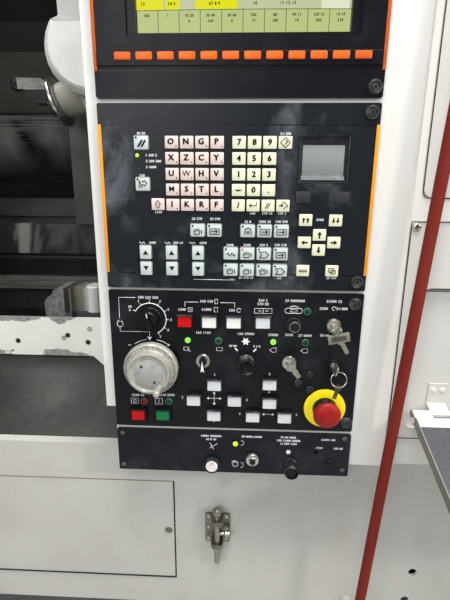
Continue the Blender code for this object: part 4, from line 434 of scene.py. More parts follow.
def panelFilm(name, colour, dust, amount=0.5, shine=0.22, withPalePatches=False):
    # dark printed film, dusty, and on the keyboard paler wisps at its left side and right of the middle
    look = Finish(name)
    z = look.axis("Z")
    clouds = look.cloud(11.0, 0.50, 0.78, 5.0, roughness=0.6, distortion=0.5)
    rubbed = look.cloud(30.0, 0.46, 0.78, 7.0, stretch=(1.6, 1, 1), roughness=0.72)
    fine = look.cloud(800.0, 0.60, 0.70, 1.0)
    veil = clouds * rubbed * 1.3 * amount + clouds * 0.25 * amount + fine * 0.08
    if withPalePatches:
        across = look.axis("X") - consoleX
        leftPatch = look.ranged(across, -0.128, -0.150) * look.ranged(z, 1.30, 1.35)
        leftPatch = leftPatch * look.ranged(z, 1.443, 1.42)
        rightPatch = look.ranged(across, 0.050, 0.062) * look.ranged(across, 0.084, 0.074)
        rightPatch = rightPatch * look.ranged(z, 1.33, 1.37)
        wisps = look.cloud(26.0, 0.40, 0.72, 5.0, stretch=(1, 1, 0.6), distortion=0.9)
        veil = veil + (leftPatch * 1.0 + rightPatch * 0.7) * wisps * 0.75
    tone = look.mixed(veil, colour, dust)
    rough = look.spread(clouds, 0.30, 0.55)
    peel = look.bump(look.noise(900.0, 1.0), 0.12, 0.0003)
    return look.close(tone, rough, normal=peel, specular=shine)


def plastic(name, colour, gloss=0.42, wearAndSheen=0.35, dark=None):
    look = Finish(name)
    shade = dark or shaded(colour, 0.55)
    # marks mix in a second tone of wear and dust; on screw rings, knob edges, hood lips and the touch pad's
    # lower lip it is a much lighter tone, painted highlight flecks
    marks = look.cloud(90.0, 0.50, 0.78, 5.0, roughness=0.65)
    tone = look.mixed(marks * wearAndSheen, colour, shade)
    rough = look.ranged(look.noise(160.0, 3.0), 0.3, 0.7, gloss - 0.06, gloss + 0.10)
    grain = look.bump(look.noise(1200.0, 1.0), 0.06, 0.0002)
    return look.close(tone, rough, normal=grain, specular=0.22)


def metal(name, bright, dull, gloss, scale, stain, bumpiness=0.12, stretch=(1, 1, 1)):
    look = Finish(name)
    lines = look.noise(scale, 5.0, stretch=stretch, roughness=0.65)
    blots = look.cloud(scale * 0.18, 0.45, 0.75, 5.0, roughness=0.6)
    tone = look.mixed(look.ranged(lines, 0.35, 0.70) * 0.5 + blots * stain, bright, dull)
    rough = look.ranged(lines, 0.3, 0.7, gloss, gloss + 0.22)
    shine = look.spread(blots, 1.0, 0.75)
    return look.close(tone, rough, metallic=shine, normal=look.bump(lines, bumpiness, 0.0004))


def grimyWheel(name):
    # worn bare aluminium: fine scratches, dark pits and brownish grime left by gloves
    look = Finish(name)
    scratches = look.cloud(240.0, 0.42, 0.66, 6.0, stretch=(1, 1, 0.5), roughness=0.7)
    grime = look.cloud(38.0, 0.50, 0.72, 7.0, roughness=0.72, distortion=0.4)
    pits = look.noise(210.0, 4.0, roughness=0.7) > 0.66
    tone = look.mixed(scratches * 0.6, (0.52, 0.505, 0.44), (0.22, 0.21, 0.175))
    tone = look.mixed(grime * 0.8, tone, (0.185, 0.165, 0.115))
    tone = look.mixed(pits * 0.8, tone, (0.045, 0.040, 0.030))
    rough = look.spread(grime, 0.46, 0.66)
    shine = look.spread(grime, 0.40, 0.15)
    return look.close(tone, rough, metallic=shine, normal=look.bump(scratches, 0.35, 0.0005))


toolSplit = 1.6385  # height of the line between the tool's holder and its shank


def cuttingTool(name):
    # a bright shank over a dark holder
    look = Finish(name)
    streaks = look.noise(60.0, 5.0, stretch=(0.4, 1, 1), roughness=0.65)
    bands = look.ranged(streaks, 0.35, 0.70)
    shank = look.mixed(bands, (0.29, 0.28, 0.25), (0.13, 0.125, 0.11))
    holder = look.mixed(bands, (0.0060, 0.0060, 0.0065), (0.020, 0.019, 0.017))
    tone = look.mixed(look.axis("Z") > toolSplit, holder, shank)
    rough = look.ranged(streaks, 0.3, 0.7, 0.36, 0.55)
    return look.close(tone, rough, metallic=0.1, specular=0.2)


# bands across the lower turret; 'shine' is where the painted highlight on the round bar is brightest
turretBands = {
    "block": -0.397, "bevel": -0.384, "holder": -0.3585, "shine": -0.338, "end": -0.310, "base": 1.087,
}


def turretSteel(name):
    # from the left: pitted block, a bevel in painted shade, brownish holder and a round bar with a painted
    # highlight down its middle, on a dark base
    look = Finish(name)
    x, z = look.axis("X") - consoleX, look.axis("Z")
    b = turretBands
    pitted = look.cloud(90.0, 0.38, 0.66, 7.0, roughness=0.62)
    brushed = look.cloud(60.0, 0.35, 0.65, stretch=(1, 1, 0.15))
    holes = look.noise(48.0, 2.0) > 0.72
    # painted highlight on the round bar, brightest at its middle
    shine = look.ranged(x, b["holder"], b["shine"]) * look.ranged(x, b["end"], b["shine"])
    block = look.mixed(pitted, (0.130, 0.133, 0.133), (0.31, 0.31, 0.30))
    block = look.mixed(holes, block, (0.010, 0.010, 0.010))
    holder = look.mixed(brushed, (0.17, 0.155, 0.115), (0.27, 0.25, 0.20))
    bar = look.mixed(shine, (0.26, 0.255, 0.235), (0.90, 0.90, 0.88))
    # painted shade: the bevel face between the block and the holder
    tone = look.mixed(x > b["block"], block, (0.022, 0.021, 0.018))
    tone = look.mixed(x > b["bevel"], tone, holder)
    tone = look.mixed(x > b["holder"], tone, bar)
    tone = look.mixed((z < b["base"]) * (x > b["block"]), tone, (0.075, 0.085, 0.10))
    rough = look.spread(pitted, 0.5, 0.35)
    return look.close(tone, rough, metallic=0.15, normal=look.bump(pitted, 0.3, 0.0006))


def lamp(name, colour, strength):
    look = Finish(name)
    grain = look.cloud(500.0, 0.3, 0.7, 2.0)
    tone = look.mixed(grain, colour, tuple(min(1.0, c * 1.25 + 0.02) for c in colour))
    return look.close(shaded(colour, 0.2), 0.25, glow=tone, power=strength)


beam = {"low": 1.015, "high": 1.101, "chipDepth": 0.022}


def chippedEnamel(name, colour, bare):
    # machine enamel knocked off along the plate's edges, with small rust spots
    look = Finish(name)
    z = look.axis("Z")
    low = look.ranged(z, beam["low"] + beam["chipDepth"], beam["low"])
    high = look.ranged(z, beam["high"] - beam["chipDepth"], beam["high"])
    ragged = look.noise(17.0, 7.0, roughness=0.68, distortion=0.6)
    patches = look.cloud(9.0, 0.40, 0.52, 3.0)
    toLeft = look.ranged(look.axis("X") - consoleX, -0.300, -0.330)
    chipped = (ragged * 0.80 + (low | high) * (patches * toLeft) * 0.50) > 0.66
    flakes = look.cloud(150.0, 0.42, 0.62, 5.0, roughness=0.7)
    bare = look.mixed(flakes, bare, shaded(bare, 0.55))
    dots = look.noise(75.0, 3.0) > 0.735
    stain = look.cloud(7.0, 0.48, 0.78, 6.0)
    stained = look.mixed(stain * 0.35, colour, shaded(colour, 0.6))
    rusted = look.mixed(dots * 0.7, stained, (0.10, 0.06, 0.03))
    tone = look.mixed(chipped, rusted, bare)
    rough = look.spread(chipped, 0.42, 0.6)
    return look.close(tone, rough, normal=look.bump(1 - chipped, 0.4, 0.0006))


def wetSteel(name):
    # sheet wetted by coolant and stained with rust
    look = Finish(name)
    rust = look.cloud(20.0, 0.52, 0.60, 7.0, roughness=0.75)
    left = look.ranged(look.axis("X"), 0.12, -0.10, 0.12, 1.0)
    film = look.cloud(4.0, 0.35, 0.7, 6.0, distortion=0.8)
    drips = look.cloud(10.0, 0.45, 0.7, 5.0, stretch=(1, 0.25, 0.25), distortion=0.4)
    spots = look.cloud(30.0, 0.55, 0.63, 7.0, roughness=0.70, distortion=0.6)
    base = look.mixed(film * 0.7 + drips * 0.3, (0.012, 0.0135, 0.0115), (0.032, 0.0345, 0.029))
    tone = look.mixed(rust * left * 0.9, base, (0.115, 0.065, 0.014))
    pale = look.cloud(16.0, 0.56, 0.74, 7.0, roughness=0.7, distortion=0.9)
    tone = look.mixed(pale * 0.4, tone, (0.12, 0.12, 0.108))
    tone = look.mixed(spots * 0.85, tone, (0.008, 0.008, 0.007))
    rough = look.spread(film, 0.33, 0.54)
    return look.close(tone, rough, metallic=0.2, normal=look.bump(look.noise(90.0, 5.0), 0.15, 0.0008))


bandTops = {"strip": 1.250, "gap": 1.147, "lip": 1.131, "ledge": 1.068, "end": 1.021}
guardReach = 0.905  # the bands lie in front of this depth


def bedBands(name):
    # grey casting, with a dark guard strip carrying painted reflections, painted shade in the gap, and a
    # lighter ledge under the carriage
    look = Finish(name)
    x, y, z = look.axis("X"), look.axis("Y"), look.axis("Z")
    b = bandTops
    streaks = look.noise(6.0, 3.0, stretch=(1, 1, 0.5), distortion=1.2)
    lines = look.noise(150.0, 2.0, stretch=(0.03, 1, 1))
    mottled = look.cloud(8.0, 0.4, 0.7, 6.0)
    casting = look.mixed(mottled, (0.046, 0.046, 0.050), (0.015, 0.015, 0.016))
    toLeft = look.ranged(x, 0.16, -0.02, 0.15, 1.0)
    # painted reflection: bright streaks on the guard strip, stronger towards the left
    shine = look.ranged(streaks, 0.46, 0.62) * toLeft
    bright = look.mixed(shine, (0.022, 0.021, 0.019), (0.33, 0.325, 0.30))
    ledge = look.mixed(look.ranged(lines, 0.4, 0.6), (0.13, 0.125, 0.105), (0.22, 0.215, 0.19))
    tone = casting
    # the gap's near black is painted shade
    for low, high, colour in (
        (b["gap"], b["strip"], bright), (b["ledge"], b["gap"], (0.006, 0.006, 0.006)),
        (b["lip"] - 0.004, b["lip"], (0.09, 0.088, 0.08)), (b["end"], b["ledge"], ledge),
    ):
        band = (z > low) * (z < high) * (y < faceY + guardReach)
        tone = look.mixed(band, tone, colour)
    rough = look.ranged(streaks, 0.3, 0.7, 0.30, 0.5)
    return look.close(tone, rough, metallic=0.3, normal=look.bump(lines, 0.12, 0.0006))


coverTops = {"lined": 1.611, "dull": 1.794, "dark": 1.879}


def telescope(name):
    # way covers: a black top, dull sheets, then finely lined steel with painted reflections: pale lines high
    # up and blurred bright patches
    look = Finish(name)
    z = look.axis("Z")
    lines = look.noise(260.0, 2.0, stretch=(0.02, 1, 1))
    bars = look.noise(60.0, 2.0, stretch=(0.02, 1, 1))
    # painted reflection: blurred bright patches on the lined steel
    glow = look.cloud(5.5, 0.46, 0.70, 3.0, stretch=(1, 1, 0.5), distortion=0.5)
    height = look.ranged(z, 1.41, 1.52) * look.ranged(z, 1.64, 1.55)
    fineLines = look.ranged(lines, 0.40, 0.60) * 0.6 + look.ranged(bars, 0.4, 0.6) * 0.4
    # painted reflection: the fine lines paler high up
    high = look.ranged(z, 1.50, 1.58) * look.ranged(fineLines, 0.45, 0.75)
    lined = look.mixed(fineLines, (0.0030, 0.0030, 0.0028), (0.0100, 0.0098, 0.0090))
    lined = look.mixed(high, lined, (0.085, 0.083, 0.076))
    lined = look.mixed(glow * height * 0.8, lined, (0.150, 0.148, 0.138))
    dull = look.mixed(look.cloud(5.0, 0.35, 0.7), (0.040, 0.0375, 0.032), (0.024, 0.0225, 0.0195))
    foot = coverTops["lined"]
    tone = look.mixed(z > foot, lined, dull)
    tone = look.mixed((z > foot - 0.005) * (z < foot), tone, (0.006, 0.006, 0.006))
    tone = look.mixed(z > coverTops["dull"], tone, (0.013, 0.0125, 0.011))
    tone = look.mixed(z > coverTops["dark"], tone, (0.0040, 0.0040, 0.0036))
    return look.close(tone, 0.55, normal=look.bump(bars, 0.2, 0.0008), specular=0.04)


screenLayout = {
    "left": -0.128, "right": 0.138, "boxTop": 1.5785, "barTop": 1.5895, "boxes": 10, "line": 0.0008,
    "filledTo": 0.034, "filled": [(0.037, 0.055), (0.074, 0.126)], "palest": (0.229, 0.263), "ruling": 0.0135,
    "glow": 0.86,
}


def screenPage(name):
    # a lit page: soft-key boxes at the bottom, a part yellow bar over them, a pale page above
    look = Finish(name)
    s = screenLayout
    z = look.axis("Z")
    across = look.axis("X") - (consoleX + s["left"])
    pitch = (s["right"] - s["left"]) / s["boxes"]
    divider = ((across % pitch) < s["line"]) * (z < s["boxTop"])
    frameLine = (z > s["boxTop"] - s["line"]) * (z < s["boxTop"])
    bar = (z > s["boxTop"]) * (z < s["barTop"])
    filled = across < s["filledTo"]
    for start, end in s["filled"]:
        filled = filled | ((across > start) * (across < end))
    start, end = s["palest"]
    palest = bar * (across > start) * (across < end)
    ruled = ((z % s["ruling"]) < 0.0005) * (z > s["barTop"])
    tone = look.mixed(z < s["boxTop"], (0.62, 0.66, 0.40), (0.56, 0.65, 0.265))
    tone = look.mixed(bar * filled, tone, (0.88, 0.86, 0.008))
    tone = look.mixed(palest, tone, (0.86, 0.90, 0.66))
    tone = look.mixed(ruled * 0.30, tone, (0.20, 0.24, 0.12))
    tone = look.mixed(divider | frameLine, tone, (0.10, 0.13, 0.06))
    haze = look.ranged(look.noise(9.0, 3.0), 0.3, 0.7, 0.0, 0.25)
    tone = look.mixed(haze * (z > s["barTop"]), tone, (0.60, 0.64, 0.34))
    return look.close((0.006, 0.006, 0.004), 0.18, glow=tone, power=s["glow"], specular=0.06)


def rubberHose(name):
    # dark red rubber with a fine spiral fabric mark
    look = Finish(name)
    spiral = ((look.axis("Z") + look.axis("X") * 1.6) % 0.0042) < 0.0014
    weave = look.noise(700.0, 2.0, stretch=(1, 1, 0.4))
    dust = look.cloud(16.0, 0.48, 0.78, 6.0, stretch=(1, 1, 0.25))
    tone = look.mixed(dust * 0.16, (0.205, 0.019, 0.011), (0.28, 0.075, 0.050))
    tone = look.mixed(spiral * 0.45, tone, (0.085, 0.012, 0.008))
    rough = look.ranged(weave, 0.3, 0.7, 0.52, 0.68)
    weaveNormal = look.bump(weave + spiral * 0.6, 0.4, 0.0005)
    return look.close(tone, rough, normal=weaveNormal, specular=0.15)


shelfEdge = 0.9836  # left of it lie the tray's folded side and its edge
hingeStrip = 0.0335  # behind it, measured out of the console's face, the tray is painted


def shelfSkin(name):
    # speckled rubber mat on the tray, white painted metal with chips near the hinge, and the tray's side in
    # painted shade
    look = Finish(name)
    speckle = look.cloud(520.0, 0.38, 0.68, 2.0, roughness=0.7)
    worn = look.cloud(9.0, 0.45, 0.75, 6.0)
    matTone = look.mixed(speckle, (0.034, 0.036, 0.042), (0.078, 0.081, 0.090))
    matTone = look.mixed(worn * 0.25, matTone, (0.12, 0.12, 0.125))
    chips = look.noise(170.0, 6.0, roughness=0.7) > 0.665
    paintTone = look.mixed(chips, (0.60, 0.595, 0.56), (0.16, 0.14, 0.11))
    # painted shade: the tray's side takes the grey-beige of the shelf's shadow, mottled
    sideShadeTone = look.mixed(worn, (0.25, 0.24, 0.195), (0.19, 0.18, 0.15))
    tone = look.mixed(look.axis("Y") > faceY - hingeStrip, matTone, paintTone)
    tone = look.mixed(look.axis("X") < shelfEdge, tone, sideShadeTone)
    return look.close(tone, 0.6, normal=look.bump(speckle, 0.35, 0.0006))


def clearPane(name):
    look = Finish(name)
    smear = look.ranged(look.noise(6.0, 5.0), 0.4, 0.7, 0.06, 0.22)
    values = {"Base Color": (0.85, 0.90, 0.88, 1), "Roughness": smear, "Alpha": 0.35, "IOR": 1.45}
    shader = look.node("ShaderNodeBsdfPrincipled", None, values, output="BSDF")
    look.end(shader)
    return look.material


finishes = {
    "cabinet": paint("cabinetPaint", (0.735, 0.720, 0.675), (0.42, 0.40, 0.35), 0.30, 0.22),
    "cover": paint("coverPaint", (0.640, 0.625, 0.585), (0.36, 0.345, 0.30), 0.35, 0.25),
    # a darker copy of the cabinet paint: painted shade on the lower cover and access door, with heavier real
    # grime
    "lowerCabinet": paint("shadedLowerCabinetPaint", (0.525, 0.512, 0.468), (0.30, 0.28, 0.235), 0.55, 0.5),
    "swivelWhite": ramPaint("swivelWhitePaint", (0.905, 0.895, 0.850), (0.50, 0.475, 0.40)),
    "casting": paint("castingPaint", (0.052, 0.048, 0.041), (0.022, 0.020, 0.016), 0.9, 0.6, 0.5),
    # the milling head's beige-grey, darkened further as painted shade for the shadow that falls on it
    "headCasting": paint("headCastingPaint", (0.40, 0.385, 0.32), (0.10, 0.090, 0.065), 0.9, 0.6, 0.36),
    "tank": paint("tankPaint", (0.075, 0.075, 0.075), (0.03, 0.028, 0.025), 0.9, 0.5, 0.5),
    "bed": bedBands("bedCasting"),
    "displayFilm": panelFilm("displayFilm", (0.0060, 0.0068, 0.0090), (0.060, 0.066, 0.078), 0.16, 0.14),
    "keyboardFilm": panelFilm("keyboardFilm", (0.0095, 0.0118, 0.0155), (0.185, 0.2, 0.225), 0.75, 0.2, True),
    "operationFilm": panelFilm("operationFilm", (0.0055, 0.0065, 0.0085), (0.085, 0.090, 0.100), 0.34, 0.18),
    "auxiliaryFilm": panelFilm("auxiliaryFilm", (0.0065, 0.0080, 0.0125), (0.110, 0.115, 0.130), 0.45, 0.18),
    "black": plastic("blackPlastic", (0.006, 0.006, 0.0065), 0.26, 0.3, (0.04, 0.04, 0.04)),
    "orange": plastic("orangeStrip", (0.56, 0.105, 0.014), 0.40, 0.25),
    "amber": plastic("amberStrip", (0.86, 0.310, 0.010), 0.40, 0.15),
    "softKey": plastic("orangeSoftKey", (0.88, 0.135, 0.014), 0.30, 0.18),
    "softKeyWorn": plastic("wornSoftKey", (0.74, 0.110, 0.016), 0.36, 0.35),
    "letterKey": plastic("pinkKey", (0.74, 0.605, 0.545), 0.46, 0.12),
    "digitKey": plastic("ivoryKey", (0.79, 0.775, 0.555), 0.46, 0.10),
    "functionKey": plastic("mintKey", (0.56, 0.625, 0.585), 0.46, 0.14),
    "darkKey": plastic("darkKey", (0.030, 0.032, 0.038), 0.40, 0.3, (0.07, 0.07, 0.075)),
    "pad": plastic("touchPad", (0.245, 0.260, 0.248), 0.34, 0.20, (0.20, 0.21, 0.20)),
    "padEdge": plastic("padEdge", (0.016, 0.018, 0.023), 0.30, 0.4, (0.06, 0.065, 0.07)),
    # painted highlight: the pale lower slope and edge of the touch pad's mouth
    "padLitLip": plastic("padLitLip", (0.150, 0.158, 0.160), 0.30, 0.5, (0.32, 0.33, 0.33)),
    "legend": plastic("legendInk", (0.008, 0.008, 0.009), 0.6, 0.1),
    "blueInk": plastic("blueInk", (0.012, 0.016, 0.050), 0.6, 0.3),
    "darkRing": plastic("darkRing", (0.022, 0.023, 0.025), 0.26, 0.4, (0.075, 0.075, 0.075)),
    # screw rings and knob edges: the light second tone, mixed in at a high share, is painted highlight flecks
    "screwRing": plastic("screwRing", (0.040, 0.041, 0.042), 0.22, 0.9, (0.20, 0.20, 0.195)),
    "knobEdge": plastic("knobEdge", (0.014, 0.014, 0.015), 0.22, 0.9, (0.20, 0.197, 0.185)),
    "tag": plastic("brassTag", (0.250, 0.235, 0.175), 0.34, 0.5, (0.12, 0.11, 0.08)),
    "tagInset": plastic("tagInset", (0.090, 0.085, 0.070), 0.40, 0.5),
    "rust": plastic("rustStain", (0.240, 0.205, 0.135), 0.60, 0.8, (0.10, 0.065, 0.03)),
    "plug": plastic("paleplug", (0.52, 0.50, 0.44), 0.5, 0.6, (0.30, 0.28, 0.22)),
    "mark": plastic("whiteMark", (0.86, 0.87, 0.87), 0.6, 0.30, (0.45, 0.46, 0.47)),
    "whiteButton": plastic("whiteButton", (0.82, 0.805, 0.745), 0.30, 0.18, (0.52, 0.50, 0.44)),
    "jogButton": plastic("jogButton", (0.66, 0.675, 0.685), 0.30, 0.25, (0.36, 0.36, 0.37)),
    "pinkButton": plastic("pinkButton", (0.80, 0.74, 0.71), 0.36, 1.0, (0.30, 0.085, 0.08)),
    # hood lips: the light second tone, mixed in at a high share, is painted highlight flecks
    "hoodLip": plastic("hoodLip", (0.040, 0.041, 0.043), 0.30, 0.9, (0.20, 0.20, 0.20)),
    "brass": metal("darkBrass", (0.22, 0.165, 0.09), (0.07, 0.05, 0.03), 0.34, 120.0, 0.6),
    "turretSteel": turretSteel("turretSteel"),
    "redButton": plastic("redButton", (0.58, 0.004, 0.004), 0.28, 0.15),
    "greenButton": plastic("greenButton", (0.008, 0.20, 0.060), 0.30, 0.3),
    "stopRed": plastic("stopRed", (0.32, 0.010, 0.010), 0.40, 0.45, (0.15, 0.01, 0.010)),
    "stopMark": plastic("stopMark", (0.16, 0.005, 0.010), 0.4, 0.35),
    "stopYellow": plastic("stopYellow", (0.92, 0.74, 0.010), 0.36, 0.12),
    "unlitGreen": plastic("unlitLens", (0.003, 0.050, 0.016), 0.18, 0.2),
    "unlitRed": plastic("unlitRedLens", (0.130, 0.012, 0.006), 0.18, 0.3),
    "greenRing": plastic("greenLampRing", (0.075, 0.215, 0.130), 0.30, 0.3),
    "paleRing": plastic("paleLampRing", (0.30, 0.31, 0.29), 0.30, 0.4),
    "redRing": plastic("redLampRing", (0.300, 0.085, 0.045), 0.30, 0.3),
    "wheel": grimyWheel("wornWheel"),
    "wheelPlate": plastic("wheelPlate", (0.36, 0.36, 0.345), 0.42, 0.7, (0.20, 0.185, 0.14)),
    "nickel": metal("wornNickel", (0.66, 0.64, 0.57), (0.24, 0.22, 0.17), 0.22, 120.0, 0.45),
    "latchSteel": metal("latchSteel", (0.24, 0.23, 0.19), (0.07, 0.065, 0.05), 0.26, 90.0, 0.6, 0.2),
    "keySteel": metal("keySteel", (0.52, 0.50, 0.41), (0.18, 0.165, 0.12), 0.28, 140.0, 0.5, 0.1),
    "tool": cuttingTool("toolSteel"),
    "insert": metal("carbideInsert", (0.030, 0.030, 0.032), (0.010, 0.010, 0.010), 0.30, 80.0, 0.5),
    "chrome": metal("chromeRing", (0.78, 0.78, 0.76), (0.16, 0.16, 0.15), 0.10, 60.0, 0.6, 0.05),
    "steel": metal("machinedSteel", (0.6, 0.59, 0.55), (0.13, 0.12, 0.1), 0.24, 30, 0.7, stretch=(1, 1, 0.3)),
    "wayCover": telescope("wayCoverSteel"),
    "enamel": chippedEnamel("creamEnamel", (0.95, 0.94, 0.87), (0.42, 0.41, 0.38)),
    "apron": wetSteel("wetApron"),
    "mat": shelfSkin("shelfSkin"),
    "seam": plastic("seamShadow", (0.020, 0.018, 0.015), 0.7, 0.4, (0.06, 0.05, 0.04)),
    "recessShade": plastic("recessShade", (0.25, 0.243, 0.225), 0.7, 0.4, (0.20, 0.19, 0.17)),
    "rustSeam": plastic("rustSeam", (0.26, 0.225, 0.13), 0.7, 0.6, (0.10, 0.085, 0.05)),
    "latchRod": metal("latchRod", (0.40, 0.385, 0.33), (0.085, 0.080, 0.065), 0.24, 110.0, 0.6, 0.2),
    "ledgeShine": plastic("ledgeShine", (0.30, 0.31, 0.33), 0.3, 0.9, (0.03, 0.03, 0.032)),
    "hose": rubberHose("hoseRubber"),
    "glass": clearPane("doorPane"),
    "screen": screenPage("screenPage"),
    "litGreen": lamp("litGreen", (0.24, 0.90, 0.03), 1.2),
    "litYellow": lamp("litYellowGreen", (0.50, 0.90, 0.02), 1.15),
    "litRed": lamp("litRed", (0.95, 0.06, 0.04), 1.1),
}

nodeFinishes = {
    "cabinet": ["pillar", "enclosure", "left_cover", "sliding_door"],
    "cover": ["upper_right_cover", "right_cover"],
    "lowerCabinet": ["lower_cover", "access_door"],
    "tank": ["coolant_tank"],
    "bed": ["bed"],
    "casting": ["headstock", "carriage"],
    "headCasting": ["milling_head"],
    "swivelWhite": ["ram"],
    "enamel": ["lower_turret_cover"],
    "apron": ["apron"],
    "wayCover": ["way_cover"],
    "steel": ["chuck", "chuck_jaw_1", "chuck_jaw_2", "chuck_jaw_3"],
    "turretSteel": ["lower_turret"],
    "latchSteel": ["latch_plate"],
    "tool": ["milling_spindle"],
    "displayFilm": ["display_unit"],
    "keyboardFilm": ["keyboard_unit"],
    "operationFilm": ["operation_panel"],
    "auxiliaryFilm": ["auxiliary_panel"],
    "screen": ["display_screen"],
    "glass": ["door_window"],
    "mat": ["shelf"],
    "hose": ["air_hose"],
    "wheel": ["handwheel", "handwheel_crank"],
    "nickel": ["program_key", "tool_clamp_key", "setup_key", "turret_select_key"],
    "latchRod": ["latch_bolt"],
    "black": [
        "axis_select_knob", "head_select_knob", "tool_select_knob", "flash_tool_knob", "chip_conveyor_switch",
    ],
    "stopRed": ["estop_button"],
    "redButton": ["spindle_stop_button", "feed_hold_button"],
    "greenButton": ["cycle_start_button"],
    "whiteButton": ["spindle_start_button", "spindle_reverse_button"],
    "pinkButton": ["single_operate_button"],
    "jogButton": [
        "door_unlock_button", "jog_up_button", "jog_left_button", "jog_right_button", "jog_down_button",
        "traverse_up_button", "traverse_centre_button", "traverse_left_button", "traverse_right_button",
    ],
}


def paintNodes():
    for finish, names in nodeFinishes.items():
        for name in names:
            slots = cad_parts[name].data.materials
            slots.clear()
            slots.append(finishes[finish])
    print("nodes painted")


# Camera and light

camera = {
    "spot": (0.01007, -0.58082, 1.360),
    "forward": (-0.03993, 0.96735, -0.25026),
    "up": (-0.01798, 0.24972, 0.96815),
    "lens": 25.13,
}


def placeCamera():
    lens = bpy.data.cameras.new("view")
    lens.lens = camera["lens"]
    lens.sensor_width = 36
    lens.clip_start = 0.02
    eye = bpy.data.objects.new("view", lens)
    bpy.context.scene.collection.objects.link(eye)
    forward = Vector(camera["forward"]).normalized()
    right = forward.cross(Vector(camera["up"])).normalized()
    up = right.cross(forward)
    turn = Matrix((right, up, -forward)).transposed().to_4x4()
    eye.matrix_world = Matrix.Translation(at(*camera["spot"])) @ turn
    bpy.context.scene.camera = eye


lights = {
    "front": {"spot": (-0.75, -3.6, 2.45), "aim": (0.35, -0.3, 1.35), "size": (2.4, 1.4), "power": 47},
    "key": {"spot": (3.0, -2.1, 2.35), "aim": (0.85, -0.65, 0.85), "size": (0.28, 0.28), "power": 30},
    "overhead": {"spot": (1.00, -1.22, 3.15), "aim": (0.70, -0.66, 1.0), "size": (1.4, 0.5), "power": 60},
    "right": {"spot": (2.9, -2.6, 2.1), "aim": (0.8, -0.6, 1.1), "size": (1.2, 1.6), "power": 2},
    "inside": {"spot": (0.00, -0.35, 2.10), "aim": (0.25, -0.20, 1.00), "size": (0.8, 0.15), "power": 3.9},
    "back": {"spot": (1.4, 5.0, 3.0), "aim": (1.4, 0.8, 1.1), "size": (3.0, 1.6), "power": 150},
    "leftSide": {"spot": (-3.2, 0.8, 2.6), "aim": (0.0, 0.3, 1.2), "size": (1.6, 1.6), "power": 60},
    "rightSide": {"spot": (6.0, 0.8, 2.6), "aim": (2.9, 0.3, 1.2), "size": (1.6, 1.6), "power": 60},
}


def placeLights():
    for name, light in lights.items():
        deselect()
        bpy.ops.object.light_add(type="AREA", location=light["spot"])
        made = bpy.context.object
        made.name = name
        made.data.shape = "RECTANGLE"
        made.data.size, made.data.size_y = light["size"]
        made.data.energy = light["power"]
        aim = Vector(light["aim"]) - Vector(light["spot"])
        made.rotation_euler = aim.to_track_quat("-Z", "Y").to_euler()
    world = bpy.data.worlds.new("studio")
    bpy.context.scene.world = world
    world.use_nodes = True
    back = world.node_tree.nodes["Background"]
    back.inputs[0].default_value = (0.92, 0.95, 1.0, 1)
    back.inputs[1].default_value = 0.28
    bpy.context.scene.view_settings.view_transform = "Standard"


def layFloor():
    deselect()
    bpy.ops.mesh.primitive_plane_add(size=14)
    floor = bpy.context.object
    floor.name = "floor"
    look = Finish("paleFloor")
    tone = look.mixed(look.cloud(3.0, 0.3, 0.7), (0.58, 0.58, 0.57), (0.64, 0.64, 0.63))
    floor.data.materials.append(look.close(tone, 0.7))


# The hose repeats the route of its solid

hose = {
    "bottom": 0.665, "top": 1.985, "depth": -0.020, "radius": 0.008,
    "offset": 0.2162, "offsetAt": 0.702, "slope": 0.0637,
}


def hoseSpot(z):
    return at(hose["offset"] + (z - hose["offsetAt"]) * hose["slope"], hose["depth"], z)


def makeHose():
    count = 30
    route = bpy.data.curves.new("redHose", "CURVE")
    route.dimensions = "3D"
    route.bevel_depth = hose["radius"]
    route.bevel_resolution = 6
    route.use_fill_caps = True
    spline = route.splines.new("POLY")
    spline.points.add(count - 1)
    for i, spot in enumerate(spline.points):
        z = hose["top"] + (hose["bottom"] - hose["top"]) * i / (count - 1)
        spot.co = (*hoseSpot(z), 1)
    made = bpy.data.objects.new("redHose", route)
    bpy.context.scene.collection.objects.link(made)
    route.materials.append(finishes["hose"])
    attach(made, "machine")
    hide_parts("air_hose")
    length = (hoseSpot(hose["top"]) - hoseSpot(hose["bottom"])).length
    hoseSpot(hose["top"])
    print("hose laid")


# Console fittings


captiveSpots = [
    (0.1717, 1.488), (0.1710, 1.778), (0.1710, 1.4585), (0.1705, 1.2388), (0.1706, 1.2069), (0.1724, 1.0196),
]


screwForms = {
    "captiveSeats": [(-0.0005, 0.0100), (0.0003, 0.0100), (0.0005, 0.0090), (0.0005, 0.0003)],
    "captiveRings": [
        (-0.0005, 0.0086), (0.0018, 0.0086), (0.0030, 0.0077), (0.0030, 0.0064), (0.0010, 0.0058),
        (0.0009, 0.001),
    ],
    "captiveHeads": [(-0.0005, 0.0050), (0.0016, 0.0050), (0.0023, 0.0043), (0.0023, 0.0003)],
    "captiveSockets": [(-0.0005, 0.0025), (0.0024, 0.0025), (0.0024, 0.0003)],
}


def captiveScrews():
    places = [at(x, 0, z) for x, z in captiveSpots]
    kinds = (("legend", 32), ("screwRing", 32), ("screwRing", 24), ("legend", 6))
    for (name, form), (finish, sides) in zip(screwForms.items(), kinds):
        studs(name, form, places, finish, sides)


def caps(name, spots, width, height, rise, finish, edge=0.0009, spread=0.0003):
    # key caps that cover the plain keys of the unit below
    across, up = width / 2 + spread, height / 2 + spread
    pattern = block((-across, -rise - spread, -up), (across, 0.0004, up), edge)
    dress(repeated(pattern, [at(x, 0, z) for x, z in spots]), name, finish)


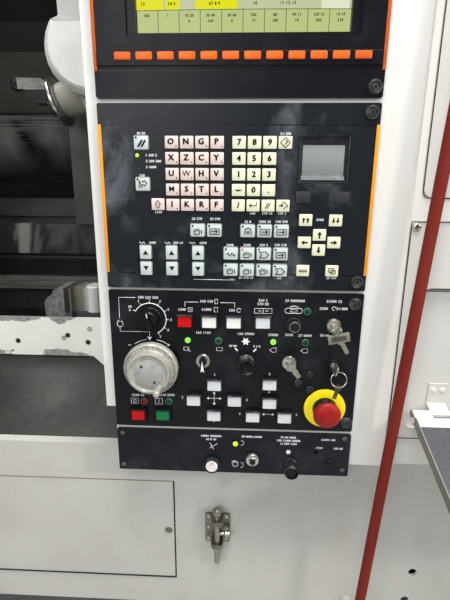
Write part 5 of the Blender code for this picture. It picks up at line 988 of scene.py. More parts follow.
keyboard = {
    "pitch": 0.020,
    "letters": ["ONGP", "XZCY", "UWHV", "MSTL", "IKRF"],
    "letterRows": (4, 4, 4, 4, 4),
    "lettersAt": (-0.0856, 1.4223),
    "digits": ["789", "456", "123", "-0.", "/"],
    "digitRows": (4, 3, 3, 3, 4),
    "digitsAt": (0.003, 1.4223),
    "functionPitch": 0.0229,
    "functionAt": -0.0522,
    "functionRows": [(1.3085, (0, 1, 3, 4, 5)), (1.2772, (2, 3, 4, 5)), (1.2542, (2, 3, 4, 5))],
    "overrides": (-0.1255, -0.0889, -0.0520),
    "overrideRows": (1.2773, 1.2546),
}


def keySpots(corner, rows):
    # rows of keys on the keyboard's pitch, each with its number of keys
    x, z = keyboard[corner]
    pitch = keyboard["pitch"]
    places = [(column, row) for row, count in enumerate(rows) for column in range(count)]
    return [(x + pitch * column, z - pitch * row) for column, row in places]


def functionSpots():
    first, pitch = keyboard["functionAt"], keyboard["functionPitch"]
    return [(first + pitch * place, z) for z, places in keyboard["functionRows"] for place in places]


def arrowLines(x, z, size, angle):
    shaft = turnedSpots(x, z, size, angle, [(-0.5, 0), (0.45, 0)])
    head = turnedSpots(x, z, size, angle, [(0.05, 0.38), (0.5, 0), (0.05, -0.38)])
    return [shaft, head]


cursorSpots = [
    (0.0944, 1.3236), (0.1345, 1.3235), (0.1141, 1.3040), (0.0942, 1.2935), (0.1342, 1.2938),
    (0.1141, 1.2833), (0.0942, 1.2544), (0.1342, 1.2545),
]


keySize = (0.017, 0.015)


def keyboardCaps():
    letters = keySpots("lettersAt", keyboard["letterRows"])
    caps("letterCaps", letters + [(-0.1059, 1.3429)], *keySize, keyRise, "letterKey")
    caps("digitCaps", keySpots("digitsAt", keyboard["digitRows"]), *keySize, keyRise, "digitKey")
    caps("cursorCaps", cursorSpots, *keySize, keyRise, "digitKey")
    caps("functionCaps", functionSpots(), 0.0205, 0.018, keyRise, "functionKey", 0.0016)
    caps("resetCaps", [(-0.1257, 1.4217), (-0.1257, 1.3692)], 0.020, 0.018, keyRise, "functionKey", 0.0016)
    overrides = [(x, z) for x in keyboard["overrides"] for z in keyboard["overrideRows"]]
    caps("overrideCaps", overrides, 0.017, 0.020, keyRise, "functionKey", 0.0024)
    caps("padButtons", [(0.0894, 1.3535), (0.1401, 1.3535)], 0.0188, 0.0147, 0.0015, "darkKey", 0.0010)


def keyboardLegends(face):
    entries = []
    small = []
    letters = keySpots("lettersAt", keyboard["letterRows"])
    for i, ((x, z), letter) in enumerate(zip(letters, "".join(keyboard["letters"]))):
        entries.append((letter, x - 0.0010, z + 0.0006, 0.0072))
        small.append((str(i % 10), x + 0.0060, z - 0.0050, 0.0022))
    x0, z0 = keyboard["digitsAt"]
    for row, line in enumerate(keyboard["digits"]):
        for column, letter in enumerate(line):
            entries.append((letter, x0 + keyboard["pitch"] * column, z0 - keyboard["pitch"] * row, 0.0072))
    wide = [entry for entry in entries if entry[0] in "MW"]
    slim = [entry for entry in entries if entry[0] not in "MW"]
    signs = [lettering(slim, face, 0.00036), lettering(wide, face, 0.00006)]
    dress(joined(signs), "keyLegends", "legend", smooth=0)
    printText("smallLegends", small, face, 0.00012, "legend")


def keyboardSymbols(face):
    arrows = (
        (0.1141, 1.3040, 0.0092, 90), (0.1141, 1.2833, 0.0092, -90), (0.0942, 1.2935, 0.0092, 180),
        (0.1342, 1.2938, 0.0092, 0), (0.0608, 1.3423, 0.0062, 0),
    )
    shapes = [blockArrow(*arrow) for arrow in arrows]
    for x in (-0.0028, 0.0028):
        shapes.append(blockArrow(0.0944 + x, 1.3236, 0.0074, 90))
        shapes.append(blockArrow(0.1345 + x, 1.3235, 0.0074, -90))
    printShape("keyArrows", shapes, face, "legend")
    keyDrawings(face)


def keyDrawings(face):
    x0, z0 = keyboard["digitsAt"]
    shiftKey = [(-0.5, -0.16), (0.0, -0.16), (0.0, -0.38), (0.5, 0), (0.0, 0.38), (0.0, 0.16), (-0.5, 0.16)]
    inputKey = [(-0.5, -0.3), (0.0, -0.3), (0.0, -0.5), (0.5, 0), (0.0, 0.5), (0.0, 0.3), (-0.5, 0.3)]
    clear = x0 + 3 * keyboard["pitch"]
    low = z0 - 4 * keyboard["pitch"]
    lines = [
        turnedSpots(clear, z0, 0.0092, 45, hollowBox(0, 0, 1, 1)),
        turnedSpots(clear, z0, 0.0070, 45, [(-0.3, -0.2), (0.3, -0.2), (0.3, 0.3)]),
        [(x0 + 0.0150, low), (x0 + 0.0245, low), (x0 + 0.0245, low + 0.0040)],
        [(x0 + 0.0175, low + 0.0020), (x0 + 0.0150, low), (x0 + 0.0175, low - 0.0020)],
        [(x0 + 0.0362, low - 0.0036), (x0 + 0.0405, low + 0.0036)],
        [(x0 + 0.0388, low - 0.0036), (x0 + 0.0431, low + 0.0036)],
        turnedSpots(clear + 0.0016, low, 0.0072, 45, [(-0.3, 0.5), (0.5, 0.5), (0.5, -0.5), (-0.5, -0.3)]),
        [(x0 - 0.0045, z0 - 3 * keyboard["pitch"]), (x0 + 0.0045, z0 - 3 * keyboard["pitch"])],
        hollowBox(0.0942, 1.2544, 0.0105, 0.0022),
        hollowBox(0.1330, 1.2558, 0.0070, 0.0052),
        hollowBox(0.1360, 1.2532, 0.0060, 0.0048),
        turnedSpots(-0.1059, 1.3432, 0.0100, 90, [*shiftKey, shiftKey[0]]),
        [(-0.1303, 1.3738), (-0.1303, 1.3650), (-0.1262, 1.3656), (-0.1303, 1.3738)],
        turnedSpots(-0.1232, 1.3705, 0.0078, 0, inputKey),
    ]
    strokes("keySymbols", lines, face - 0.0001, 0.0012, "legend")
    slashes = [[(-0.1297 + 0.0044 * k, 1.4165), (-0.1243 + 0.0044 * k, 1.4247)] for k in range(2)]
    strokes("resetStrokes", slashes, face - 0.0001, 0.0025, "blueInk")


def functionIcon(kind, x, z):
    if kind == 0:
        wave = [(x - 0.0060 + 0.0012 * k, z + 0.0022 * math.sin(k * 1.26)) for k in range(11)]
        return [wave]
    if kind == 1:
        line = [(x - 0.0045, z), (x + 0.0030, z)]
        return [hollowBox(x, z, 0.0130, 0.0075), line, *arrowLines(x + 0.0010, z, 0.0060, 0)]
    if kind == 2:
        flag = [(-0.5, -0.32), (0.15, -0.32), (0.5, 0), (0.15, 0.32), (-0.5, 0.32), (-0.25, 0)]
        return [turnedSpots(x, z, 0.0130, 0, [*flag, flag[0]])]
    if kind == 3:
        hand = [(-0.35, -0.4), (0.3, -0.4), (0.4, 0.05), (0.25, 0.3), (0.1, 0.0), (0.05, 0.42), (-0.1, 0.0)]
        hand += [(-0.2, 0.42), (-0.28, 0.0), (-0.42, 0.2), (-0.35, -0.4)]
        line = [(x + 0.0050, z - 0.0030), (x + 0.0050, z + 0.0020)]
        return [turnedSpots(x - 0.0015, z, 0.0100, 8, hand), line]
    loop = arc(x, z + 0.0010, 0.0042, 0, 180, 8)
    loop = [(x + 0.0042, z - 0.0040), *loop, (x - 0.0042, z - 0.0040)]
    return [loop, arc(x, z - 0.0010, 0.0016, 0, 360, 8)]


def keyboardIcons(face):
    kinds = [3, 1, 4, 1, 1, 0, 3, 2, 1, 3, 3, 3, 2]
    icons = []
    for (x, z), kind in zip(functionSpots(), kinds):
        icons += functionIcon(kind, x + 0.0005, z - 0.0014)
    strokes("functionSymbols", icons, face - 0.0001, 0.0013, "legend")
    up, down = keyboard["overrideRows"]
    wedges = []
    for x in keyboard["overrides"]:
        wedges.append(triangle(x, up - 0.0006, 0.0078, 90))
        wedges.append(triangle(x, down + 0.0006, 0.0078, -90))
    printShape("overrideWedges", wedges, face, "legend")


def keyboardLamps(face):
    functions = functionSpots()
    lit = 6  # the one key whose lamp is on
    dots = [(x - 0.0068, z + 0.0060) for i, (x, z) in enumerate(functions) if i != lit]
    dots += [(-0.1323, 1.4280), (-0.1323, 1.3755)]
    disc = [(-0.0005, 0.0014), (0.0003, 0.0014), (0.0005, 0.0010), (0.0005, 0.0002)]
    studs("keyLamps", disc, [at(x, face, z) for x, z in dots], "legend", 16)
    x, z = functions[lit]
    knob("litKeyLamp", disc, at(x - 0.0068, face, z + 0.0060), "litRed", 16)
    ready = [(-0.0005, 0.0024), (0.0008, 0.0024), (0.0013, 0.0016), (0.0014, 0.0002)]
    knob("readyLamp", ready, at(-0.132, 0, 1.406), "litYellow", 20)


pad = {
    "left": 0.0866, "right": 0.1409, "bottom": 1.3821, "top": 1.4197, "floor": 0.0030, "reach": 0.0064,
    "mouth": (0.0810, 0.1450, 1.3740, 1.4303),
}


def touchPad():
    corner = at(pad["left"], pad["floor"] - 0.0007, pad["bottom"])
    dress(block(corner, at(pad["right"], pad["floor"], pad["top"]), 0.0003), "padSurface", "pad")
    middle = (pad["left"] + pad["right"]) / 2
    half = (pad["right"] - pad["left"]) / 2 + 0.0012
    slope = math.atan2(pad["floor"], pad["reach"])
    length = math.hypot(pad["floor"], pad["reach"]) / 2
    for name, z, turn, finish in (
        # the lower slope is pale as a painted highlight
        ("padLipLow", pad["bottom"] - pad["reach"] / 2, -slope, "padLitLip"),
        ("padLipHigh", pad["top"] + pad["reach"] / 2, slope, "padEdge"),
    ):
        lip = block((-half, -0.0002, -length), (half, 0.0001, length), 0.0001, 1)
        lip.rotation_euler = (turn, 0, 0)
        lip.location = at(middle, pad["floor"] / 2 - 0.0003, z)
        dress(lip, name, finish)
    padFrame()


def padFrame():
    # the mouth's black line, a painted highlight along its lower and right edge, and the sloping sides
    left, right, low, high = pad["mouth"]
    mouth = [(left, low), (right, low), (right, high), (left, high), (left, low)]
    strokes("padMouth", [mouth], -0.0003, 0.0011, "black")
    edge = [(right + 0.0009, high), (right + 0.0009, low - 0.0009), (left, low - 0.0009)]
    strokes("padMouthEdge", [edge], -0.0003, 0.0006, "padLitLip")
    walls = []
    for outer, inner in ((left, pad["left"]), (right, pad["right"])):
        wall = block((-0.0026, -0.0002, -0.0225), (0.0026, 0.0001, 0.0225), 0.0001, 1)
        lean = math.atan2(pad["floor"], abs(inner - outer))
        wall.rotation_euler = (0, 0, lean if inner > outer else -lean)
        wall.location = at((outer + inner) / 2, pad["floor"] / 2 - 0.0003, (low + high) / 2 - 0.001)
        walls.append(wall)
    dress(joined(walls), "padSides", "padEdge")


def dressKeyboard():
    face = -keyRise - 0.0004
    keyboardCaps()
    keyboardLegends(face)
    keyboardSymbols(face)
    keyboardIcons(face)
    keyboardLamps(face)
    touchPad()
    print("keyboard dressed")


ledge = 1.5152  # height of the bright edge under the screen
unitEdges = {"display": (1.5074, 1.7925), "keyboard": (1.2480, 1.4440), "strip": (0.1785, 0.1828)}


def dressDisplay():
    first, pitch, z = -0.1452, 0.0272, 1.524
    spots = [(first + pitch * i, z) for i in range(12)]
    worn = [spots.pop(0), spots.pop()]
    caps("softKeyCaps", spots, 0.0205, 0.009, 0.003, "softKey", 0.0012)
    caps("wornSoftKeyCaps", worn, 0.0205, 0.009, 0.003, "softKeyWorn", 0.0012)
    inner, outer = unitEdges["strip"]
    for name, unit, finish in (
        ("displayStrips", "display", "orange"), ("keyboardStrips", "keyboard", "amber"),
    ):
        low, high = unitEdges[unit]
        strips = []
        for left, right in ((-outer, -inner), (inner, outer)):
            strips.append(block(at(left, -0.0010, low), at(right, 0.0010, high), 0.0004))
        dress(joined(strips), name, finish)
    bandSeams = []
    for z in (unitEdges["display"][0], *reversed(unitEdges["keyboard"])):
        bandSeams.append(block(at(-0.1822, -0.00015, z - 0.0005), at(0.1822, 0.001, z + 0.0005), 0))
    dress(joined(bandSeams), "bandSeams", "black", smooth=0)
    screenMarks()
    strokes("ledgeShine", [[(0.060, ledge), (0.172, ledge)]], -0.0004, 0.0011, "ledgeShine")
    print("display dressed")


def screenMarks():
    s = screenLayout
    pitch = (s["right"] - s["left"]) / s["boxes"]
    numbers = []
    upper = ["100", "1", "10 20", "30 40", "50 60", "700", "80", "90 11", "120 13", "14 15"]
    lower = ["", "", "0", "160", "0", "17", "180", "19", "200", "210"]
    for i, lines in enumerate(zip(upper, lower)):
        for number, z in zip(lines, (1.5712, 1.5650)):
            if number:
                numbers.append((number, s["left"] + pitch * (i + 0.5), z, 0.0030))
    bar = ((-0.119, "12"), (-0.083, "34 5"), (-0.030, "67 8 9"), (0.020, "10"), (0.060, "11 12 13"))
    for x, number in bar:
        numbers.append((number, x, 1.5840, 0.0034))
    printText("screenNumbers", numbers, 0.0077, 0.0001, "legend")


# White printed marks are plain numbers and lines: for each height, the numbers and where they stand

printedNumbers = {
    0.0031: [
        ("10 20", -0.1260, 1.4331), ("1 100 2", -0.1135, 1.4060), ("2 200 300", -0.1105, 1.3985),
        ("3 4000", -0.1140, 1.3910), ("120", -0.1267, 1.3801), ("1300", -0.1061, 1.3321),
        ("14 150", 0.0629, 1.4331), ("160", 0.0225, 1.3317), ("170 18", 0.0422, 1.3319),
        ("190 2", 0.0624, 1.3321), ("21 0", 0.0164, 1.3204), ("2200 23", 0.0395, 1.3207),
        ("240 250", 0.0623, 1.3209), ("26 270", -0.0531, 1.3238), ("28 290", -0.0284, 1.3238),
        ("3000", -0.0076, 1.2884), ("3100", 0.0160, 1.2887), ("320 3", 0.0390, 1.2890),
        ("330 340", 0.0621, 1.2893), ("350", 0.0616, 1.2427), ("36 370 38", 0.0155, 1.2427),
        ("3900", 0.1139, 1.3239), ("40 410", 0.1343, 1.2440), ("4200", -0.1160, 1.2903),
        ("430 44", -0.0800, 1.2905), ("4500", -0.0450, 1.2908),
    ],
    0.0036: [
        ("100 200 300", -0.1252, 1.2113), ("110 120", -0.0405, 1.2072), ("1300", -0.0763, 1.1942),
        ("14000", -0.0406, 1.1949), ("150", -0.0040, 1.1944), ("160 1700", -0.0455, 1.1595),
        ("180 19000", 0.0167, 1.1590), ("2200 23", -0.1465, 1.0564), ("240 2500", -0.1010, 1.0577),
        ("260 2", 0.0404, 1.2100), ("270 28", 0.0406, 1.2046), ("29 3000000", 0.0857, 1.2101),
        ("31000 32", 0.1411, 1.2103), ("3300", 0.1271, 1.1995), ("34 000", 0.1529, 1.1996),
        ("35000", 0.0565, 1.1584), ("3600", 0.0797, 1.1589), ("37 0000", 0.1028, 1.1582),
        ("38 00", 0.1310, 1.1591),
    ],
    0.0034: [
        ("10", -0.1525, 1.1970), ("0", -0.1525, 1.1920), ("1", -0.0286, 1.0929), ("2", -0.0781, 1.0544),
        ("3", 0.0205, 1.0530), ("4", -0.0295, 1.0151), ("5", 0.0537, 1.0964), ("6", 0.0538, 1.0673),
        ("7", 0.0547, 1.0394), ("8", 0.0102, 1.0293), ("9", 0.0967, 1.0297),
    ],
    0.0030: [
        ("20 00", -0.0018, 1.1400), ("2 1 0", 0.0335, 1.1400),
    ],
    0.0032: [
        ("10000 2000000", -0.0342, 0.9892), ("30 0 40", -0.0342, 0.9833), ("50 0000 60000", 0.0296, 0.9900),
        ("70 80 9000", 0.0862, 0.9906), ("100 11000 20000", 0.0866, 0.9850),
        ("13 000 1400", 0.0869, 0.9795), ("15000 160", 0.1476, 0.9885), ("1700", 0.1347, 0.9740),
        ("180 00", 0.1640, 0.9737),
    ],
}

dial = {"spot": (-0.1235, 1.1790), "radius": 0.0238, "start": -62, "end": 151, "steps": 7}


def printDial():
    x, z = dial["spot"]
    r = dial["radius"]
    strokes("dialArc", [arc(x, z, r, dial["start"], dial["end"], 30)], 0.0001, 0.0015, "mark")
    ticks = []
    numbers = []
    for i in range(dial["steps"] + 1):
        angle = dial["end"] + (dial["start"] - dial["end"]) * i / dial["steps"]
        ticks.append([onCircle(x, z, reach, angle) for reach in (r, r + 0.0036)])
        if i:
            numbers.append((str(i), *onCircle(x, z, r + 0.0072, angle), 0.0036))
    strokes("dialTicks", ticks, 0.0001, 0.0010, "mark")
    printText("dialNumbers", numbers, -0.0002, 0.00018, "mark")


def printLines():
    coolantLeft = arc(0.0760, 1.1955, 0.0038, 90, 270, 8)
    coolantRight = arc(0.0935, 1.1955, 0.0038, -90, 90, 8)
    label = [(-0.5, 0), (-0.1, 0.3), (0.4, 0.3), (0.4, -0.3), (-0.1, -0.3), (-0.5, 0)]
    fine = [
        [(-0.1440, 1.2110), (-0.1680, 1.2108), (-0.1685, 1.1795)],
        [(-0.1685, 1.1650), (-0.1685, 1.1592), (-0.1250, 1.1592), (-0.1250, 1.1520)],
        [(-0.0719, 1.1990), (-0.0719, 1.2058), (-0.0520, 1.2058)],
        [(-0.0205, 1.2058), (0.0000, 1.2058), (0.0000, 1.1990)],
        [(-0.0585, 1.2392), (0.0000, 1.2392)],
        [(-0.0070, 1.2405), (-0.0010, 1.2405)],
        arc(-0.1220, 1.1050, 0.0425, 55, 80, 6),
        arc(-0.1235, 1.1050, 0.0425, 98, 125, 6),
        [(-0.1575, 1.1379), (-0.1530, 1.1379)],
        [(-0.0995, 1.1390), (-0.0950, 1.1390)],
        [(-0.0973, 1.1368), (-0.0973, 1.1412)],
        hollowBox(-0.0265, 1.2072, 0.0040, 0.0065),
        [(-0.0650, 1.1960), (-0.0620, 1.1930)],
        hollowBox(-0.0640, 1.1944, 0.0060, 0.0060),
        hollowBox(-0.0270, 1.1950, 0.0050, 0.0065),
        arc(0.0062, 1.1946, 0.0030, 30, 330, 9),
        hollowBox(-0.0715, 1.1340, 0.0060, 0.0050),
        [(-0.0670, 1.1370), (-0.0670, 1.1305), (-0.0640, 1.1305)],
        hollowBox(-0.0216, 1.1345, 0.0085, 0.0050),
        turnedSpots(0.0575, 1.1350, 0.0110, 0, label),
        turnedSpots(0.1034, 1.1349, 0.0110, 0, label),
        hollowBox(0.0412, 1.1944, 0.0250, 0.0072),
        [(0.0412, 1.1910), (0.0412, 1.1978)],
        [(0.0340, 1.1944), (0.0385, 1.1944)],
        [(0.0440, 1.1944), (0.0485, 1.1944)],
        [*coolantLeft, *coolantRight, (0.0760, 1.1993)],
        [(0.0790, 1.2010), (0.0850, 1.2030), (0.0910, 1.2010)],
        hollowBox(0.0850, 1.1955, 0.0090, 0.0036),
        arc(0.1415, 1.2000, 0.0026, 0, 300, 9),
        [(-0.0360, 0.9770), (-0.0300, 0.9660)],
        [(-0.0360, 0.9680), (-0.0240, 0.9760)],
        [(0.0130, 0.9820), (0.0170, 0.9820), (0.0170, 0.9760), (0.0130, 0.9740)],
        [(0.0130, 0.9430), (0.0170, 0.9430), (0.0170, 0.9360), (0.0130, 0.9340)],
        arc(0.0024, 0.9429, 0.0034, 0, 350, 12),
        arc(-0.1682, 1.1705, 0.0044, 130, 410, 12),
        [(-0.1712, 1.1738), (-0.1706, 1.1772), (-0.1690, 1.1738)],
        [(-0.1668, 1.1738), (-0.1652, 1.1766), (-0.1650, 1.1732)],
        hollowBox(-0.1521, 1.0466, 0.0112, 0.0086),
        arc(-0.1521, 1.0466, 0.0024, 0, 360, 10),
        hollowBox(-0.1146, 1.0467, 0.0112, 0.0092),
        [(-0.1146, 1.0494), (-0.1146, 1.0440)],
        [(-0.0390, 1.0543), (-0.0196, 1.0543)],
        [(-0.0293, 1.0446), (-0.0293, 1.0640)],
        [(0.0462, 1.0298), (0.0610, 1.0298)],
    ]
    strokes("panelLines", fine, 0.0001, 0.0009, "mark")
    waves = []
    for x, z in ((-0.1295, 1.2900), (-0.0940, 1.2903), (-0.0590, 1.2906)):
        waves.append([(x - 0.0050 + 0.0010 * k, z + 0.0014 * math.sin(k * 1.3)) for k in range(9)])
    strokes("overrideWaves", waves, 0.0001, 0.0009, "mark")


def starShape(x, z, radius, points=6):
    reaches = (radius, radius * 0.52) * points
    return [onCircle(x, z, reach, 180 * i / points) for i, reach in enumerate(reaches)]


def printShapes():
    bar = [(-0.5, -0.17), (0.5, -0.17), (0.5, 0.17), (-0.5, 0.17)]
    shapes = [
        triangle(-0.1252, 1.1490, 0.0070, -90),
        starShape(0.0170, 1.1475, 0.0066),
        starShape(0.0875, 0.9650, 0.0048),
        turnedSpots(0.0034, 1.1347, 0.0060, 135, bar),
        turnedSpots(0.0307, 1.1340, 0.0060, 45, bar),
    ]
    for angle in (0, 90, 180, 270):
        shapes.append(triangle(*onCircle(-0.0293, 1.0543, 0.0095, angle), 0.0044, angle))
    shapes.append(triangle(0.0610, 1.0298, 0.0044, 0))
    shapes.append(triangle(0.0462, 1.0298, 0.0044, 180))
    printShape("panelShapes", shapes, -0.0001, "mark")


def printMarks():
    numbers = [(*mark, height) for height, marks in printedNumbers.items() for mark in marks]
    printText("printedNumbers", numbers, -0.0002, 0.00020, "mark")
    printDial()
    printLines()
    printShapes()
    print("marks printed")


def lens(name, spots, radius, finish, rise=0.002):
    dome = [(-0.0005, radius), (0.0006, radius), (0.0014, radius * 0.82), (0.0018, radius * 0.45)]
    studs(name, [*dome, (0.0019, 0.0002)], [at(x, -rise, z) for x, z in spots], finish)


def lampRing(name, spots, finish):
    ring = [(-0.0005, 0.0052), (0.0012, 0.0052), (0.0016, 0.0049), (0.0016, 0.0043), (0.0010, 0.0041)]
    studs(name, ring, [at(x, -0.0015, z) for x, z in spots], finish, 28)


def dressLamps():
    unlit = [(0.1039, 1.1954), (-0.0229, 1.1481), (0.1037, 1.1484), (-0.0989, 1.0481)]
    lens("greenLamps", [(-0.0682, 1.1482), (0.0570, 1.1482)], 0.0042, "litGreen")
    lens("darkLamps", unlit, 0.0040, "unlitGreen")
    lens("redLamp", [(-0.1372, 1.0473)], 0.0040, "unlitRed")
    lampRing("greenLampRings", unlit, "greenRing")
    lampRing("redLampRing", [(-0.1372, 1.0473)], "redRing")
    lens("plugCaps", [(0.1136, 1.0979), (0.0959, 1.0843), (0.1144, 1.0739)], 0.0060, "darkRing")
    lens("auxiliaryLamp", [(0.0042, 0.9780)], 0.0040, "litYellow")
    lens("auxiliaryDarkLamp", [(0.0044, 0.9419)], 0.0030, "legend")
    lampRing("auxiliaryLampRing", [(0.0044, 0.9419)], "paleRing")
    lens("auxiliaryPlug", [(0.1527, 0.9483)], 0.0056, "black", 0.003)


stop = {"spot": (0.1383, 1.0433), "cap": 0.0200}


def dressStop():
    x, z = stop["spot"]
    cap = stop["cap"]
    ring = [(-0.0005, 0.0312), (0.0012, 0.0312), (0.0016, 0.0306), (0.0016, 0.0182), (0.0010, 0.0176)]
    knob("stopRing", ring, at(x, -0.0010, z), "stopYellow", 72)
    collar = [(-0.0010, 0.0186), (0.0085, 0.0178), (0.0100, 0.0168), (0.0105, 0.0152)]
    knob("stopCollar", collar, at(x, -0.0012, z), "black", 48)
    stem = [(-0.0260, 0.0088), (0.0, 0.0088)]
    dome = [
        (0.0, 0.80), (0.0015, 0.93), (0.0035, 1.0), (0.0062, 1.0), (0.0082, 0.97), (0.0100, 0.90),
        (0.0116, 0.78), (0.0129, 0.60), (0.0138, 0.38), (0.0142, 0.12),
    ]
    mushroom = [*stem, *[(along, cap * share) for along, share in dome], (0.0142, 0.0003)]
    knob("stopCap", mushroom, at(x, -0.0170, z), "stopRed", 64, "estop_button", ["estop_button"])
    swirl = [arc(x, z, 0.0086, start, start + 84, 10) for start in (20, 140, 260)]
    strokes("stopCapMarks", swirl, -0.0303, 0.0016, "stopMark", "estop_button")


turretLock = (0.0312, 0.9523)


def dressSwitches():
    pointer = [(-0.0460, 1.1215), (-0.0482, 1.1035), (-0.0458, 1.1062), (-0.0430, 1.1035)]
    printShape("headPointer", [pointer], -0.0162, "mark", "head_select_knob")
    pointer = [(-0.1236, 1.1862), (-0.1244, 1.1918)]
    strokes("axisPointer", [pointer], -0.0188, 0.0016, "mark", "axis_select_knob")
    bezel = [(-0.0005, 0.0108), (0.0012, 0.0108), (0.0022, 0.0100), (0.0022, 0.0078), (0.0016, 0.0074)]
    lock = [(-0.0005, 0.0106), (0.0030, 0.0106), (0.0044, 0.0096), (0.0044, 0.0060), (0.0038, 0.0056)]
    x, z = turretLock
    for name, form, depth, spots, finish in (
        ("switchBezels", bezel, -0.0020, [(-0.0458, 1.1160), (0.0812, 1.1163)], "nickel"),
        ("conveyorBezel", bezel, -0.0020, [(0.0855, 1.1752)], "darkRing"),
        ("lockBezels", lock, -0.0030, [(0.1418, 1.1756), turretLock], "nickel"),
    ):
        studs(name, form, [at(x, depth, z) for x, z in spots], finish, 40)
    collar = [
        (-0.0005, 0.0136), (0.0030, 0.0136), (0.0052, 0.0128), (0.0056, 0.0116), (0.0040, 0.0110),
        (-0.0003, 0.0109),
    ]
    centre = faceMiddle("single_operate_button", -0.0025)
    knob("singleOperateRing", collar, centre, "darkRing", 18, smooth=20)
    slot = [
        block(at(x - 0.0042, -0.0126, z - 0.0030), at(x + 0.0042, -0.0090, z + 0.0030), 0.0005),
        block(at(x - 0.0016, -0.0124, z - 0.0052), at(x + 0.0016, -0.0090, z + 0.0020), 0.0004),
    ]
    dress(joined(slot), "turretSlot", "legend", "turret_select_key")


def dressOperation():
    dressLamps()
    dressStop()
    dressSwitches()
    knobSleeves()
    hoodLips()
    print("operation panel dressed")


hooded = [
    "jog_up_button", "jog_left_button", "jog_right_button", "jog_down_button", "traverse_up_button",
    "traverse_centre_button", "traverse_left_button", "traverse_right_button", "door_unlock_button",
    "spindle_stop_button", "spindle_start_button", "spindle_reverse_button",
]


def hoodLips():
    # upper edges of the hoods round the push buttons, dark with painted highlight flecks
    lips = []
    for name in hooded:
        low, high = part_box(name)
        left, right, top = low.x - 0.0012, high.x + 0.0012, high.z + 0.0008
        lips.append(block((left, faceY - 0.0066, top), (right, faceY - 0.0058, top + 0.0024), 0.0003))
    dress(joined(lips), "hoodLips", "hoodLip")


def knobSleeves():
    # ribbed collars round the small rotary switches, open at the front
    for name, reach in (("tool_select_knob", 0.0124), ("flash_tool_knob", 0.0112)):
        centre = faceMiddle(name, -0.001)
        length = centre.y - faceMiddle(name).y
        steps = [
            (0.0, reach + 0.0006), (0.0020, reach + 0.0006), (0.0026, reach),
            (length - 0.0010, reach - 0.0004), (length, reach - 0.0008), (length + 0.0005, reach - 0.0014),
            (length - 0.0040, reach - 0.0024), (length - 0.0042, 0.0004),
        ]
        knob(name.split("_")[0] + "Sleeve", steps, centre, "knobEdge", 26, name, smooth=8)
    ring = [(-0.0030, 0.0082), (0.0004, 0.0082), (0.0012, 0.0076), (0.0012, 0.0066), (0.0004, 0.0062)]
    hollow = [(-0.0020, 0.0068), (0.0006, 0.0066), (0.0009, 0.0040), (0.0010, 0.0003)]
    cap = [(-0.0012, 0.0093), (0.0003, 0.0093), (0.0011, 0.0086), (0.0013, 0.0060), (0.0013, 0.0003)]
    for name, form, finish, sides, body in (
        ("conveyorRing", ring, "latchRod", 40, "chip_conveyor_switch"),
        ("conveyorHollow", hollow, "legend", 32, "chip_conveyor_switch"),
        ("operateCap", cap, "pinkButton", 40, "single_operate_button"),
    ):
        knob(name, form, faceMiddle(body), finish, sides, body)


wheel = {
    "spot": (-0.1215, 1.1075), "rise": 0.007, "front": 0.028, "flange": 0.040, "drum": 0.031, "flat": 0.0208,
    "plateTop": 0.0263, "tickTop": 0.0151, "crankOffset": 0.0255, "crankAngle": -52,
}


def dressWheel():
    x, z = wheel["spot"]
    r, drum = wheel["flange"], wheel["drum"]
    steps = [
        (-0.017, 0.003), (0.0, 0.003), (0.0, 0.0330), (0.0020, 0.0345), (0.0022, r - 0.0010), (0.0032, r),
        (0.0108, r), (0.0126, r - 0.0008), (0.0138, r - 0.0026), (0.0145, r - 0.0060),
        (0.0148, drum + 0.0008), (0.0160, drum), (0.0262, drum), (0.0274, drum - 0.0004),
        (0.0280, drum - 0.0014), (0.0280, drum - 0.0026), (0.0272, drum - 0.0040), (0.0260, drum - 0.0048),
        (0.0256, 0.0240), (0.0256, 0.0213), (0.0256, 0.0003),
    ]
    centre = at(x, -wheel["rise"], z)
    knob("pulseWheel", steps, centre, "wheel", 96, "handwheel", ["handwheel"])
    flat, top = wheel["flat"], wheel["plateTop"]
    plate = [(0.0250, flat), (0.0260, flat), (top, flat - 0.0004), (top, 0.0003)]
    knob("wheelFacePlate", plate, centre, "wheelPlate", 72, "handwheel")


def dressWheelMarks():
    x, z = wheel["spot"]
    head = [(-0.0004, 0.0019), (0.0006, 0.0019), (0.0008, 0.0013), (0.0003, 0.0008), (0.0003, 0.0002)]
    depth = -wheel["rise"] - wheel["plateTop"]
    spots = [at(x + a, depth, z + b) for a, b in ((-0.0095, 0.0105), (0.0085, -0.0135))]
    studs("wheelScrews", head, spots, "darkRing", 16, "handwheel")
    ticks = []
    for i in range(100):
        angle = 3.6 * i
        inner = 0.0338 if i % 10 == 0 else 0.0348 if i % 5 == 0 else 0.0358
        ticks.append([onCircle(x, z, reach, angle) for reach in (inner, 0.0376)])
    strokes("wheelTicks", ticks, -wheel["rise"] - wheel["tickTop"], 0.0007, "legend", "handwheel")


def dressCrank():
    x, z = wheel["spot"]
    x, z = onCircle(x, z, wheel["crankOffset"], wheel["crankAngle"])
    steps = [
        (-0.0040, 0.0018), (0.0, 0.0018), (0.0, 0.0044), (0.0012, 0.0046), (0.0030, 0.0043),
        (0.0070, 0.0037), (0.0120, 0.0037), (0.0165, 0.0044), (0.0195, 0.0050), (0.0220, 0.0049),
        (0.0234, 0.0040), (0.0240, 0.0022), (0.0240, 0.0003),
    ]
    centre = at(x, -wheel["rise"] - wheel["front"] - 0.0003, z)
    knob("crankKnob", steps, centre, "wheel", 40, "handwheel_crank", ["handwheel_crank"])


def dressHandwheel():
    dressWheel()
    dressWheelMarks()
    dressCrank()
    print("handwheel dressed")


